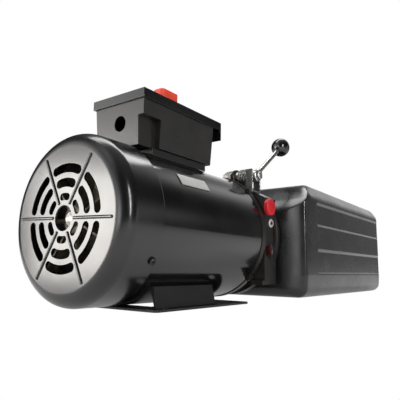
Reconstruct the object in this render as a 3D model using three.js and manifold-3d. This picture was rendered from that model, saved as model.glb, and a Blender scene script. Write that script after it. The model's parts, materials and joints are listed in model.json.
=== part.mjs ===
// Foot-mounted electric motor, valve manifold with gear pump, and oil tank: a lift power unit.
// Millimetres, +Z up. The motor shaft lies along +X, from the fan cover towards the tank.
// Sub-parts are placed about the shaft axis; the last group moves the origin to the floor.

import * as THREE from 'three';
import { mergeVertices } from 'three/addons/utils/BufferGeometryUtils.js';
import Module from 'manifold-3d';

const wasm = await Module();
wasm.setup();

// ---- Driving dimensions ----
const GAP = 0.3;                  // clearance between pieces that touch or slide
const FINE = 32;                  // facets round a large turned part
const COARSE = 12;                // facets round a small turned part

// Motor
const SHELL_RADIUS = 83.5;
const SHELL_WALL = 3;
const SHELL_LENGTH = 194.5;
const SHAFT_RADIUS = 8;
const SHAFT_HEIGHT = SHELL_RADIUS + 5.4;  // shaft axis above the floor
const STATOR_SETBACK = 38;        // from the shell's fan end to the stator
const STATOR_LENGTH = SHELL_LENGTH - 82.5;
const STATOR_SLOTS = 12;
const STATOR_SLOT_DEPTH = 16;
const STATOR_SLOT_HALF_WIDTH = 4;
const STATOR_TOOTH_TIP = 3;       // iron between the bore and a slot
const ROTOR_RADIUS = SHELL_RADIUS - 38.5;
const ROTOR_END_RING = 6;
const AIR_GAP = 0.6;
const WINDING_OVERHANG = 18;
const BEARING_RADIUS = 20;
const BEARING_WIDTH = 12;
const BEARING_LIP = 3;            // solid rim on each side of a bearing's groove
const BELL_RIM = 9;               // visible ring of the pump-end bell
const BELL_LIP = 0.9;             // how far that ring stands out past the shell
const BELL_WALL = 7;
const BELL_LUG_RADIUS = 4.5;
const BELL_LUG_ANGLES = [43, -43, 137, -137];
const THROUGH_BOLT_RADIUS = 2.5;
const THROUGH_BOLT_HEAD = 4.4;
const THROUGH_BOLT_CIRCLE = SHELL_RADIUS - 8.5;
const THROUGH_BOLTS = 4;
const NAMEPLATE_ANGLES = [141, 151];
const NAMEPLATE_LENGTH = 50;
const NAMEPLATE_SHEET = 0.8;
const SCREW_RADIUS = 2;           // cover and lid screws
const SCREW_HEAD_RADIUS = 4;
const SCREW_HEAD_HEIGHT = 2.3;

// Fan cover
const COVER_DEPTH = 51.5;
const COVER_WALL = 1.8;
const COVER_LIP = 3.5;            // how far the cover stands out past the shell
const COVER_EDGE = 15;
const COVER_HOLE = 12.2;
const SLOT_RINGS = [[17.5, 24.8], [30.8, 39.8], [45.2, 54.3]];
const SLOTS_PER_RING = 6;
const SLOT_BRIDGE = 7;            // metal left between two slots
const RIB_TURN = 2;               // degrees the ribs are turned from level
const RIB_START = 16;
const RIB_END = SHELL_RADIUS + COVER_LIP - 17;
const RIB_WIDTH = 3.2;
const RIB_HEIGHT = 1.4;
const COVER_SCREWS = 3;
const COVER_SCREW_INSET = 7;
const COVER_SCREW_ANGLE = -27.6;
const FAN_RADIUS = SHELL_RADIUS + COVER_LIP - 21;
const FAN_WIDTH = 20;
const FAN_BLADES = 7;
const FAN_BLADE_SHEET = 2;
const FAN_DISC_RADIUS = 34;
const FAN_HUB = SHAFT_RADIUS + 6;

// Motor base
const BASE_START = COVER_DEPTH + 5.5;
const BASE_LENGTH = 174;
const BASE_WIDTH = 146;
const BASE_SHEET = 2.5;
const BASE_CORNER = 6;
const BASE_WINDOW_MARGIN = 30;
const BASE_WINDOW_SIDE = 34;
const CRADLE_HALF_WIDTH = 54;
const CRADLE_FOOT = 8;            // how far the cradle's feet spread past its rim
const CRADLE_INSET = 13;
const CRADLE_LENGTH = 102;
const BASE_SLOT_WIDTH = 9;
const BASE_SLOT_LENGTH = 16;
const BASE_SLOT_INSETS = [18, 22];
const BASE_SLOT_SIDE = 8;

// Control box
const BOX_START = COVER_DEPTH + 14.1;
const BOX_LENGTH = 132;
const BOX_HALF_WIDTH = 39.1;
const BOX_TAPER = 3;              // how far each wall leans in by the floor
const BOX_FLOOR = SHELL_RADIUS + 2.5;
const BOX_TOP = BOX_FLOOR + 58.7;
const BOX_SHEET = 1.5;
const LID_OVERHANG = 12.4;        // lid reaching past the box at the pump end
const LID_SKIRT = 10.4;
const LID_FLAP = 24;
const LID_SHEET = 1.8;
const ENTRY_RADIUS = 9;
const ENTRY_Y = -1.3;
const ENTRY_HEIGHT = BOX_FLOOR + 27.4;
const NOTCH_LENGTH = 30;
const NOTCH_DEPTH = 9.5;
const NOTCH_TOP = BOX_FLOOR + 33;
const TAB_HALF_LENGTH = 6;        // tabs that take the lid screws
const TAB_HALF_WIDTH = 7;
const TAB_SHEET = 3;
const TAB_SCREW_INSET = 7;
const SADDLE_LENGTH = 100;
const SADDLE_START = BOX_START + 21.4;
const SADDLE_HALF_WIDTH = 34;
const SADDLE_DROP = 12;           // how far its sides reach down beside the shell
const LEAD_HOLE = 10;
const CAPACITOR_RADIUS = 17;
const CAPACITOR_LENGTH = 90;
const CAPACITOR_Y = 17;
const CAPACITOR_INSET = 8;
const POST_RADIUS = 2;            // its two terminals
const POST_LENGTH = 8;

// Push button
const BUTTON_X = BOX_START + 51.4;
const BUTTON_Y = -25;
const BUTTON_LENGTH = 30;
const BUTTON_WIDTH = 16;
const BUTTON_STAND = 14.5;
const BUTTON_FLANGE = 1.2;
const BUTTON_SKIRT = 3;
const BUTTON_CROWN = 3;
const BUTTON_CROWN_INSET = 1.5;
const BUTTON_SPRING_RADIUS = 4.5;
const SWITCH_WALL = 1.4;
const SWITCH_DEPTH = 23.5;
const SWITCH_FLOOR = 5;

// Manifold
const MANIFOLD_GAP = 3.7;         // space between the motor flange and the manifold
const MANIFOLD_LENGTH = 31;
const MANIFOLD_HALF_WIDTH = 80;
const MANIFOLD_FAR_SIDE = 72;
const MANIFOLD_BOTTOM = -66;
const MANIFOLD_SHOULDER = 50;
const MANIFOLD_TOP = 59.3;
const MANIFOLD_CHAMFER = 18;
const COUPLING_BORE = SHAFT_RADIUS + 8;
const COUPLING_DEPTH = 26;
const FLANGE_PLATE = 6;
const SPIGOT_RADIUS = 64;
const SPIGOT_LENGTH = 10.1;
const LEDGE_REACH = 7;
const LEDGE_LENGTH = 23;
const LEDGE_HEIGHT = 5.5;
const LUG_HALF_LENGTH = 10;       // block that carries the release valve
const LUG_SIDES = [-48, -14];
const LUG_DROP = 3;
const PRESSURE_PORT = { inset: 9, z: 37, radius: 8.5, depth: 24 };
const CHECK_PORT = { inset: 17, z: 16, radius: 4.4, depth: 38 };
const RETURN_PORT = { inset: 13, z: -21, radius: 9.3, depth: 24 };
const RELIEF_PORT = { inset: 15, z: 22, radius: 7, depth: 36 };
const PLUG_CAP_RADIUS = 11.4;
const PLUG_CAP_HEIGHT = 6.5;
const PLUG_STEM = 16;
const CHECK_HEAD_LIP = 1.5;
const CHECK_SOCKET_RADIUS = 2.6;
const CHECK_BALL_RADIUS = 3.8;
const RETURN_PLUG_RECESS = 2;
const RELIEF_HEX_LIP = 4;
const RELIEF_HEX_HEIGHT = 8;

// Release valve and lever
const PIVOT_INSET = 12;           // from the manifold's motor side
const PIVOT_Z = MANIFOLD_TOP + 23.7;
const VALVE_START = -12;
const VALVE_END = -49.5;
const VALVE_RADIUS = 9;
const VALVE_HEX_RADIUS = 11.5;
const VALVE_HEX_LENGTH = 14;
const VALVE_RING_RADIUS = 12;
const VALVE_RING_LENGTH = 5;
const SPINDLE_RADIUS = 4.5;
const SPINDLE_HEAD_RADIUS = 6;
const HUB_RADIUS = 8.5;
const HUB_START = -50;
const HUB_END = -65;
const HUB_NECK_RADIUS = 5.5;
const LEVER_Y = -59;
const LEVER_ANGLE = 36.5;         // at rest, above level
const LEVER_SWING = 25;           // down to where the bracket stops it
const LEVER_REACH = 101;
const ROD_RADIUS = 3.3;
const KNOB_RADIUS = 14.2;
const BRACKET_SHEET = 2;
const BRACKET_SIDES = [-61.5, -51];
const BRACKET_RISE = 9;           // its tall leg above the pivot
const LEVER_SPRING_LENGTH = 13;

// Gear pump
const GEAR_MODULE = 2.5;
const GEAR_TEETH = 12;
const GEAR_WIDTH = 19.4;
const PRESSURE_ANGLE = 25;
const BACKLASH = 0.5;
const PUMP_SHAFT_RADIUS = 6;
const PUMP_WALL = 9;
const PUMP_COVER = 8;
const PUMP_CORNER = 15;
const PUMP_BOLT_RADIUS = 3;
const PUMP_BOLT_HEAD = 5;
const IDLER_DEPTH = 9;
const RETURN_TUBE_Y = 42;
const RETURN_TUBE_Z = -28;
const OIL_TUBE_RADIUS = 5;
const OIL_TUBE_WALL = 1.2;
const STRAINER_RADIUS = 12;
const STRAINER_LENGTH = 40;
const STRAINER_REACH = 70;        // from the pump to the strainer

// Tank
const TANK_LENGTH = 379;
const TANK_HALF_WIDTH = 116;
const TANK_BOTTOM = -84;
const TANK_TOP_FRONT = 80.5;
const TANK_TOP_REAR = 77;
const TANK_WALL = 4;
const TANK_SIDE_BEVEL = 14;
const TANK_SIDE_SHOULDER = 59;
const TANK_FRONT_BEVEL = 41;
const TANK_FRONT_SHOULDER = 42.6;
const TANK_CORNER = 9;
const TANK_REAR_CORNER = 20;
const PANEL_DEPTH = 1.8;
const PANEL_BANDS = [[16.5, 52.2], [-52.2, -15.7]];
const PANEL_FRONT_MARGIN = 48;
const PANEL_REAR_MARGIN = 14;
const NECK_WALL = 4;
const NECK_LIP = 3.8;
const NECK_REACH = 4.7;           // neck left bare between the clamp ring and the tank
const CLAMP_RING_LENGTH = 9;
const CLAMP_RING_LIP = 6.8;
const FILLER_INSET = 116;
const FILLER_Y = 30;
const FILLER_RADIUS = 18;
const FILLER_BOSS_LIP = 3;
const FILLER_BOSS_HEIGHT = 2;
const FILLER_HOLE = 12;
const FILLER_HEIGHT = 12;
const FILLER_GRIPS = 8;
const FILLER_GRIP_RADIUS = 1.5;

// ---- Places along the shaft, from the fan cover face ----
const COVER_RADIUS = SHELL_RADIUS + COVER_LIP;
const SHELL_START = COVER_DEPTH;
const SHELL_END = SHELL_START + SHELL_LENGTH;
const SHELL_BORE = SHELL_RADIUS - SHELL_WALL;
const FLANGE_START = SHELL_END + GAP;
const FLANGE_END = FLANGE_START + BELL_RIM;
const STATOR_START = SHELL_START + STATOR_SETBACK;
const STATOR_END = STATOR_START + STATOR_LENGTH;
const FAN_BELL_START = COVER_DEPTH - 11.5;
const FAN_START = 10;
const FAN_BEARING_START = SHELL_START - 5.5;
const PUMP_BEARING_START = SHELL_END - BEARING_WIDTH;
const MANIFOLD_START = FLANGE_END + MANIFOLD_GAP;
const MANIFOLD_END = MANIFOLD_START + MANIFOLD_LENGTH;
const SPIGOT_END = MANIFOLD_END + SPIGOT_LENGTH;
const PIVOT_X = MANIFOLD_START + PIVOT_INSET;
const SHAFT_START = 8;
const SHAFT_END = MANIFOLD_START + 8;
const PUMP_START = SPIGOT_END + GAP;
const PUMP_END = PUMP_START + GEAR_WIDTH + 2 * GAP;
const COVER_PLATE_START = PUMP_END + GAP;
const COVER_PLATE_END = COVER_PLATE_START + PUMP_COVER;
const GEAR_PITCH_RADIUS = GEAR_MODULE * GEAR_TEETH / 2;
const GEAR_DISTANCE = 2 * GEAR_PITCH_RADIUS;
const GEAR_TIP_RADIUS = GEAR_PITCH_RADIUS + 0.8 * GEAR_MODULE;
const PUMP_BOLT_REACH = GEAR_TIP_RADIUS + 3.5;
const INLET_Y = 1 - GEAR_TIP_RADIUS;
const INLET_Z = -GEAR_DISTANCE - 8;
const STRAINER_X = COVER_PLATE_END + STRAINER_REACH;
const STRAINER_Z = TANK_BOTTOM + TANK_WALL + STRAINER_RADIUS + 2;
const NECK_BORE = SPIGOT_RADIUS + 4;
const NECK_RADIUS = NECK_BORE + NECK_WALL;
const NECK_LIP_RADIUS = NECK_RADIUS + NECK_LIP;
const CLAMP_RING_RADIUS = NECK_LIP_RADIUS + CLAMP_RING_LIP;
const NECK_START = MANIFOLD_END + GAP;
const TANK_START = NECK_START + CLAMP_RING_LENGTH + NECK_REACH;
const TANK_END = TANK_START + TANK_LENGTH;
const FILLER_X = TANK_START + FILLER_INSET;
const FILLER_SEAT = TANK_TOP_FRONT + FILLER_BOSS_HEIGHT;
const BOX_END = BOX_START + BOX_LENGTH;
const LID_END = BOX_END + LID_OVERHANG + LID_SHEET;
const LID_TOP = BOX_TOP + GAP + LID_SHEET;

// ---- Geometry helpers ----

// Merges shared corners, drops slivers of no area and turns every face outward.
function closed(source) {
  const geometry = source.clone();
  for (const name of Object.keys(geometry.attributes)) {
    if (name !== 'position') geometry.deleteAttribute(name);
  }
  const merged = mergeVertices(geometry, 1e-4);
  const index = merged.index.array;
  const spot = merged.attributes.position;
  const kept = [];
  const a = new THREE.Vector3();
  const b = new THREE.Vector3();
  const c = new THREE.Vector3();
  let volume = 0;
  for (let i = 0; i < index.length; i += 3) {
    const [p, q, r] = [index[i], index[i + 1], index[i + 2]];
    if (p === q || q === r || r === p) continue;
    a.fromBufferAttribute(spot, p);
    b.fromBufferAttribute(spot, q);
    c.fromBufferAttribute(spot, r);
    volume += a.dot(b.clone().cross(c));
    kept.push(p, q, r);
  }
  if (volume < 0) kept.reverse();
  merged.setIndex(kept);
  return merged;
}

function toSolid(source) {
  const geometry = closed(source);
  const vertProperties = new Float32Array(geometry.attributes.position.array);
  const triVerts = new Uint32Array(geometry.index.array);
  return new wasm.Manifold(new wasm.Mesh({ numProp: 3, vertProperties, triVerts }));
}

function toGeometry(solid) {
  const mesh = solid.getMesh();
  const geometry = new THREE.BufferGeometry();
  geometry.setAttribute('position', new THREE.BufferAttribute(new Float32Array(mesh.vertProperties), 3));
  geometry.setIndex(Array.from(mesh.triVerts));
  return geometry;
}

function joined(first, ...others) {
  let solid = toSolid(first);
  for (const other of others) solid = solid.add(toSolid(other));
  return toGeometry(solid);
}

function cut(first, ...tools) {
  let solid = toSolid(first);
  for (const tool of tools) solid = solid.subtract(toSolid(tool));
  return toGeometry(solid);
}

function common(first, ...others) {
  let solid = toSolid(first);
  for (const other of others) solid = solid.intersect(toSolid(other));
  return toGeometry(solid);
}

function block(x0, x1, y0, y1, z0, z1) {
  const box = new THREE.BoxGeometry(x1 - x0, y1 - y0, z1 - z0);
  return box.translate((x0 + x1) / 2, (y0 + y1) / 2, (z0 + z1) / 2);
}

// Turned part about the shaft: the outline lists [x, radius] and closes on itself or on the axis.
function turned(outline, segments = FINE) {
  const points = outline.map(([x, r]) => new THREE.Vector2(r, x));
  if (outline[0][1] > 0) points.push(points[0].clone());
  return new THREE.LatheGeometry(points, segments).rotateZ(-Math.PI / 2).rotateX(Math.PI / 2);
}

function rodX(radius, x0, x1, y = 0, z = 0, segments = COARSE) {
  const rod = new THREE.CylinderGeometry(radius, radius, x1 - x0, segments);
  return rod.rotateZ(-Math.PI / 2).translate((x0 + x1) / 2, y, z);
}

function rodY(radius, y0, y1, x, z, segments = COARSE) {
  const rod = new THREE.CylinderGeometry(radius, radius, Math.abs(y1 - y0), segments);
  return rod.translate(x, (y0 + y1) / 2, z);
}

function rodZ(radius, z0, z1, x, y, segments = COARSE) {
  const rod = new THREE.CylinderGeometry(radius, radius, z1 - z0, segments);
  return rod.rotateX(Math.PI / 2).translate(x, y, (z0 + z1) / 2);
}

function tube(outer, inner, x0, x1, segments = FINE) {
  return turned([[x0, inner], [x0, outer], [x1, outer], [x1, inner]], segments);
}

// Outline in the Y-Z plane, extruded along X.
function extrudeX(points, x0, x1, curveSegments = 6) {
  const shape = points instanceof THREE.Shape ? points : outlineShape(points);
  const solid = new THREE.ExtrudeGeometry(shape, { depth: x1 - x0, bevelEnabled: false, curveSegments });
  return solid.rotateY(Math.PI / 2).rotateX(Math.PI / 2).translate(x0, 0, 0);
}

// Outline in the X-Z plane, extruded along Y.
function extrudeY(points, y0, y1) {
  const solid = new THREE.ExtrudeGeometry(outlineShape(points), { depth: y1 - y0, bevelEnabled: false });
  return solid.rotateX(Math.PI / 2).translate(0, y1, 0);
}

// Outline in the X-Y plane, extruded along Z.
function extrudeZ(points, z0, z1) {
  const solid = new THREE.ExtrudeGeometry(outlineShape(points), { depth: z1 - z0, bevelEnabled: false });
  return solid.translate(0, 0, z0);
}

function outlineShape(points) {
  return new THREE.Shape(points.map(([u, v]) => new THREE.Vector2(u, v)));
}

// Corners of a polygon, each [u, v, radius], with the round ones drawn as arcs.
function rounded(corners, steps = 3) {
  const points = [];
  corners.forEach(([u, v, radius = 0], i) => {
    const [pu, pv] = corners[(i + corners.length - 1) % corners.length];
    const [nu, nv] = corners[(i + 1) % corners.length];
    if (radius === 0) {
      points.push([u, v]);
      return;
    }
    const before = new THREE.Vector2(pu - u, pv - v).normalize();
    const after = new THREE.Vector2(nu - u, nv - v).normalize();
    const half = Math.acos(before.dot(after)) / 2;
    const reach = radius / Math.tan(half);
    const centre = before.clone().add(after).normalize().multiplyScalar(radius / Math.sin(half));
    const start = before.multiplyScalar(reach).sub(centre).angle();
    let sweep = after.multiplyScalar(reach).sub(centre).angle() - start;
    if (sweep > Math.PI) sweep -= 2 * Math.PI;
    if (sweep < -Math.PI) sweep += 2 * Math.PI;
    for (let k = 0; k <= steps; k++) {
      const angle = start + sweep * k / steps;
      points.push([u + centre.x + radius * Math.cos(angle), v + centre.y + radius * Math.sin(angle)]);
    }
  });
  return points;
}

// A point at a distance from the shaft, in the Y-Z plane; degrees run from +Y towards +Z.
function polar(radius, degrees) {
  const angle = THREE.MathUtils.degToRad(degrees);
  return [radius * Math.cos(angle), radius * Math.sin(angle)];
}

function arc(radius, from, to, steps) {
  return Array.from({ length: steps + 1 }, (_, k) => polar(radius, from + (to - from) * k / steps));
}

class HelixCurve extends THREE.Curve {
  constructor(radius, turns, length) {
    super();
    this.radius = radius;
    this.turns = turns;
    this.length = length;
  }

  getPoint(t, target = new THREE.Vector3()) {
    const angle = 2 * Math.PI * this.turns * t;
    return target.set(this.radius * Math.cos(angle), this.radius * Math.sin(angle), this.length * t);
  }
}

// Compression spring standing along +Z from the origin.
function coil(radius, wire, turns, length) {
  const section = new THREE.Shape().absarc(0, 0, wire, 0, 2 * Math.PI);
  const path = new HelixCurve(radius, turns, length - 2 * wire);
  const settings = { steps: Math.round(turns * 9), curveSegments: 3, extrudePath: path };
  return new THREE.ExtrudeGeometry(section, settings).translate(0, 0, wire);
}

function oilTube(points, steps) {
  const section = new THREE.Shape().absarc(0, 0, OIL_TUBE_RADIUS, 0, 2 * Math.PI);
  section.holes.push(new THREE.Path().absarc(0, 0, OIL_TUBE_RADIUS - OIL_TUBE_WALL, 0, 2 * Math.PI, true));
  const path = new THREE.CatmullRomCurve3(points.map((p) => new THREE.Vector3(...p)), false, 'centripetal');
  return new THREE.ExtrudeGeometry(section, { steps, curveSegments: 4, extrudePath: path });
}

function part(name, geometry, colour, roughness, metalness) {
  const material = new THREE.MeshStandardMaterial({ color: colour, roughness, metalness });
  const mesh = new THREE.Mesh(closed(geometry), material);
  mesh.name = name;
  return mesh;
}

const glossBlack = (name, geometry) => part(name, geometry, 0x151517, 0.18, 0.0);
const castBlack = (name, geometry) => part(name, geometry, 0x232326, 0.45, 0.2);
const zinc = (name, geometry) => part(name, geometry, 0xb9babb, 0.35, 1.0);
const steel = (name, geometry) => part(name, geometry, 0x8d8f92, 0.3, 1.0);
const aluminium = (name, geometry) => part(name, geometry, 0xa6a8ab, 0.5, 1.0);

// ---- Fan cover ----

// Round-ended slot following a ring, for cutting through the cover face.
function slotTool(inner, outer, index) {
  const middle = (inner + outer) / 2;
  const end = (outer - inner) / 2;
  const half = 180 / SLOTS_PER_RING - THREE.MathUtils.radToDeg((SLOT_BRIDGE / 2 + end) / middle);
  const centre = (index + 0.5) * 360 / SLOTS_PER_RING + RIB_TURN;
  const roundEnd = (angle, from) => {
    const [y, z] = polar(middle, angle);
    return arc(end, from, from + 180, 4).slice(1, -1).map(([dy, dz]) => [y + dy, z + dz]);
  };
  const outline = [
    ...arc(outer, centre - half, centre + half, 5),
    ...roundEnd(centre + half, centre + half),
    ...arc(inner, centre + half, centre - half, 5),
    ...roundEnd(centre - half, centre - half + 180),
  ];
  return extrudeX(outline, -RIB_HEIGHT - 1, COVER_WALL + 1);
}

function coverScrewPlaces() {
  return Array.from({ length: COVER_SCREWS }, (_, i) => 180 - COVER_SCREW_ANGLE + i * 360 / COVER_SCREWS);
}

// A radial tool or pin at the given angle, between two distances from the shaft.
function radialRod(radius, from, to, x, angle, segments = 8) {
  return rodY(radius, from, to, x, 0, segments).rotateX(THREE.MathUtils.degToRad(angle));
}

function fanCover() {
  const arcTo = (radius, inset) => Array.from({ length: 5 }, (_, k) => {
    const angle = Math.PI / 2 * k / 4;
    return [inset + radius * (1 - Math.cos(angle)), COVER_RADIUS - COVER_EDGE + radius * Math.sin(angle)];
  });
  const outside = arcTo(COVER_EDGE, 0);
  const inside = arcTo(COVER_EDGE - COVER_WALL, COVER_WALL).reverse();
  const skirtBore = COVER_RADIUS - COVER_WALL;
  const shell = turned([
    [0, COVER_HOLE], ...outside, [COVER_DEPTH, COVER_RADIUS], [COVER_DEPTH, skirtBore], ...inside,
    [COVER_WALL, COVER_HOLE],
  ]);
  const ribs = Array.from({ length: SLOTS_PER_RING }, (_, i) => {
    const rib = block(-RIB_HEIGHT, COVER_WALL, RIB_START, RIB_END, -RIB_WIDTH / 2, RIB_WIDTH / 2);
    return rib.rotateX(THREE.MathUtils.degToRad(i * 360 / SLOTS_PER_RING + RIB_TURN));
  });
  const tools = [];
  for (const [inner, outer] of SLOT_RINGS) {
    for (let i = 0; i < SLOTS_PER_RING; i++) tools.push(slotTool(inner, outer, i));
  }
  const screwX = COVER_DEPTH - COVER_SCREW_INSET;
  for (const angle of coverScrewPlaces()) {
    tools.push(radialRod(SCREW_RADIUS + GAP, COVER_RADIUS - 6, COVER_RADIUS + 4, screwX, angle));
  }
  return glossBlack('fan_cover', joined(cut(shell, ...tools), ...ribs));
}

function coverScrews() {
  const x = COVER_DEPTH - COVER_SCREW_INSET;
  return coverScrewPlaces().map((angle, i) => {
    const seat = COVER_RADIUS + GAP;
    const head = radialRod(SCREW_HEAD_RADIUS, seat, seat + SCREW_HEAD_HEIGHT, x, angle, 12);
    const shank = radialRod(SCREW_RADIUS, COVER_RADIUS - 9, seat + 0.7, x, angle);
    return zinc(`fan_cover_screw_${i + 1}`, joined(head, shank));
  });
}

function coolingFan() {
  const bore = SHAFT_RADIUS + GAP;
  const start = FAN_START + 2;
  const end = FAN_START + FAN_WIDTH;
  const disc = end - FAN_BLADE_SHEET;
  const hub = turned([
    [start, bore], [start, FAN_HUB], [disc, FAN_HUB + 2], [disc, FAN_DISC_RADIUS],
    [end, FAN_DISC_RADIUS], [end, bore],
  ], 24);
  const half = FAN_BLADE_SHEET / 2;
  const blades = Array.from({ length: FAN_BLADES }, (_, i) => {
    const blade = block(start, end - 1, FAN_HUB - 2, FAN_RADIUS, -half, half);
    return blade.rotateX(2 * Math.PI * i / FAN_BLADES);
  });
  return part('cooling_fan', joined(hub, ...blades), 0xd8d0bc, 0.5, 0.0);
}

// ---- Motor ----

function motorShell() {
  return glossBlack('motor_shell', tube(SHELL_RADIUS, SHELL_BORE, SHELL_START, SHELL_END));
}

function nameplate() {
  const inner = SHELL_RADIUS + GAP;
  const [from, to] = NAMEPLATE_ANGLES;
  const outline = [...arc(inner + NAMEPLATE_SHEET, from, to, 4), ...arc(inner, to, from, 4)];
  const start = SHELL_START + 40;
  return part('nameplate', extrudeX(outline, start, start + NAMEPLATE_LENGTH), 0xc9cacc, 0.3, 1.0);
}

function throughBoltPlaces() {
  return Array.from({ length: THROUGH_BOLTS }, (_, i) => {
    const angle = 2 * Math.PI * (i + 0.5) / THROUGH_BOLTS;
    return [THROUGH_BOLT_CIRCLE * Math.cos(angle), THROUGH_BOLT_CIRCLE * Math.sin(angle)];
  });
}

function boltHoles(radius, x0, x1) {
  return throughBoltPlaces().map(([y, z]) => rodX(radius, x0, x1, y, z, 8));
}

function fanEndBell() {
  const seat = BEARING_RADIUS + GAP;
  const rim = COVER_RADIUS - COVER_WALL - GAP;
  const start = FAN_BELL_START;
  const web = start + 8;
  const seatStart = FAN_BEARING_START - GAP;
  const seatEnd = FAN_BEARING_START + BEARING_WIDTH;
  const spigot = SHELL_BORE - GAP;
  const eye = SHAFT_RADIUS + 3;
  const spigotEnd = SHELL_START + 6;
  const bell = turned([
    [start, eye], [start, rim], [SHELL_START - GAP, rim], [SHELL_START - GAP, spigot],
    [spigotEnd, spigot], [spigotEnd, spigot - 6], [web, spigot - 8], [web, seat + BELL_WALL],
    [seatEnd, seat + BELL_WALL], [seatEnd, seat], [seatStart, seat], [seatStart, eye],
  ]);
  const holes = boltHoles(THROUGH_BOLT_RADIUS + GAP, start - 1, spigotEnd + 1);
  const screwX = COVER_DEPTH - COVER_SCREW_INSET;
  const threads = coverScrewPlaces().map((angle) => (
    radialRod(SCREW_RADIUS + GAP, COVER_RADIUS - 10, COVER_RADIUS, screwX, angle)
  ));
  return aluminium('fan_end_bell', cut(bell, ...holes, ...threads));
}

function pumpEndBell() {
  const seat = BEARING_RADIUS + GAP;
  const spigot = SHELL_BORE - GAP;
  const seatStart = PUMP_BEARING_START;
  const seatEnd = PUMP_BEARING_START + BEARING_WIDTH + GAP;
  const rim = SHELL_RADIUS + BELL_LIP;
  const eye = SHAFT_RADIUS + 3;
  const spigotStart = SHELL_END - 6;
  const bell = turned([
    [spigotStart, spigot - 6], [spigotStart, spigot], [FLANGE_START, spigot], [FLANGE_START, rim],
    [FLANGE_END, rim], [FLANGE_END, eye], [seatEnd, eye], [seatEnd, seat], [seatStart, seat],
    [seatStart, seat + BELL_WALL], [FLANGE_START, seat + BELL_WALL], [FLANGE_START, spigot - 8],
  ]);
  const lugs = BELL_LUG_ANGLES.map((angle) => {
    const lug = rodX(BELL_LUG_RADIUS, FLANGE_START, FLANGE_END - 1, rim - 1.5, 0, 10);
    return lug.rotateX(THREE.MathUtils.degToRad(angle));
  });
  const holes = boltHoles(THROUGH_BOLT_RADIUS + GAP, spigotStart - 1, FLANGE_END + 1);
  return part('pump_end_bell', cut(joined(bell, ...lugs), ...holes), 0x232326, 0.45, 0.2);
}

function throughBolts() {
  return throughBoltPlaces().map(([y, z], i) => {
    const stem = rodX(THROUGH_BOLT_RADIUS, FAN_BELL_START - 1, FLANGE_END + 1, y, z, 8);
    const nut = rodX(THROUGH_BOLT_HEAD, FAN_BELL_START - 3.3, FAN_BELL_START - GAP, y, z, 6);
    const head = rodX(THROUGH_BOLT_HEAD, FLANGE_END + GAP, FLANGE_END + 3, y, z, 6);
    return zinc(`through_bolt_${i + 1}`, joined(stem, nut, head));
  });
}

function statorSlotTools(extra, x0, x1) {
  const from = ROTOR_RADIUS + AIR_GAP + STATOR_TOOTH_TIP;
  return Array.from({ length: STATOR_SLOTS }, (_, i) => {
    const half = STATOR_SLOT_HALF_WIDTH + extra;
    const slot = block(x0, x1, from - extra, from + STATOR_SLOT_DEPTH + extra, -half, half);
    return slot.rotateX(2 * Math.PI * i / STATOR_SLOTS);
  });
}

function statorCore() {
  const ring = tube(SHELL_BORE - GAP, ROTOR_RADIUS + AIR_GAP, STATOR_START, STATOR_END);
  const slots = statorSlotTools(0, STATOR_START - 1, STATOR_END + 1);
  const holes = boltHoles(THROUGH_BOLT_RADIUS + GAP, STATOR_START - 1, STATOR_END + 1);
  return steel('stator_core', cut(ring, ...slots, ...holes));
}

function statorWinding() {
  const from = ROTOR_RADIUS + AIR_GAP + STATOR_TOOTH_TIP;
  const to = from + STATOR_SLOT_DEPTH;
  const front = tube(to, from, STATOR_START - WINDING_OVERHANG, STATOR_START - GAP, 24);
  const back = tube(to, from, STATOR_END + GAP, STATOR_END + WINDING_OVERHANG, 24);
  const bars = statorSlotTools(-GAP, STATOR_START - 2, STATOR_END + 2);
  return part('stator_winding', joined(front, back, ...bars), 0x9a5a2a, 0.4, 0.6);
}

function rotorCore() {
  const bore = SHAFT_RADIUS + GAP;
  const ringStart = STATOR_START - ROTOR_END_RING;
  const ringEnd = STATOR_END + ROTOR_END_RING;
  const ringInner = bore + 12;
  const ringOuter = ROTOR_RADIUS - 5;
  const outline = [
    [ringStart, ringInner], [ringStart, ringOuter], [STATOR_START, ringOuter], [STATOR_START, ROTOR_RADIUS],
    [STATOR_END, ROTOR_RADIUS], [STATOR_END, ringOuter], [ringEnd, ringOuter], [ringEnd, ringInner],
    [STATOR_END, ringInner], [STATOR_END, bore], [STATOR_START, bore], [STATOR_START, ringInner],
  ];
  return steel('rotor_core', turned(outline, 24));
}

function motorShaft() {
  const shaft = turned([
    [SHAFT_START, 0], [SHAFT_START, SHAFT_RADIUS - 1], [SHAFT_START + 1, SHAFT_RADIUS],
    [SHAFT_END - 1, SHAFT_RADIUS], [SHAFT_END, SHAFT_RADIUS - 1], [SHAFT_END, 0],
  ], 20);
  return steel('motor_shaft', shaft);
}

function bearing(name, start) {
  const bore = SHAFT_RADIUS + GAP;
  const inner = bore + BEARING_LIP;
  const outer = BEARING_RADIUS - BEARING_LIP;
  const end = start + BEARING_WIDTH;
  const grooves = [start + 1, end - 1];
  const outline = [
    [start, bore], [start, inner], [grooves[0], inner], [grooves[0], outer], [start, outer],
    [start, BEARING_RADIUS], [end, BEARING_RADIUS], [end, outer], [grooves[1], outer],
    [grooves[1], inner], [end, inner], [end, bore],
  ];
  return steel(name, turned(outline, 18));
}

function driveCoupling() {
  const start = FLANGE_END + 1;
  const middle = SHAFT_END + 0.5;
  const end = MANIFOLD_START + COUPLING_DEPTH - 3;
  const outer = COUPLING_BORE - 3;
  const outline = [
    [start, SHAFT_RADIUS + GAP], [start, outer], [end, outer], [end, PUMP_SHAFT_RADIUS + GAP],
    [middle, PUMP_SHAFT_RADIUS + GAP], [middle, SHAFT_RADIUS + GAP],
  ];
  return steel('drive_coupling', turned(outline, 20));
}

// ---- Motor base ----

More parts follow.
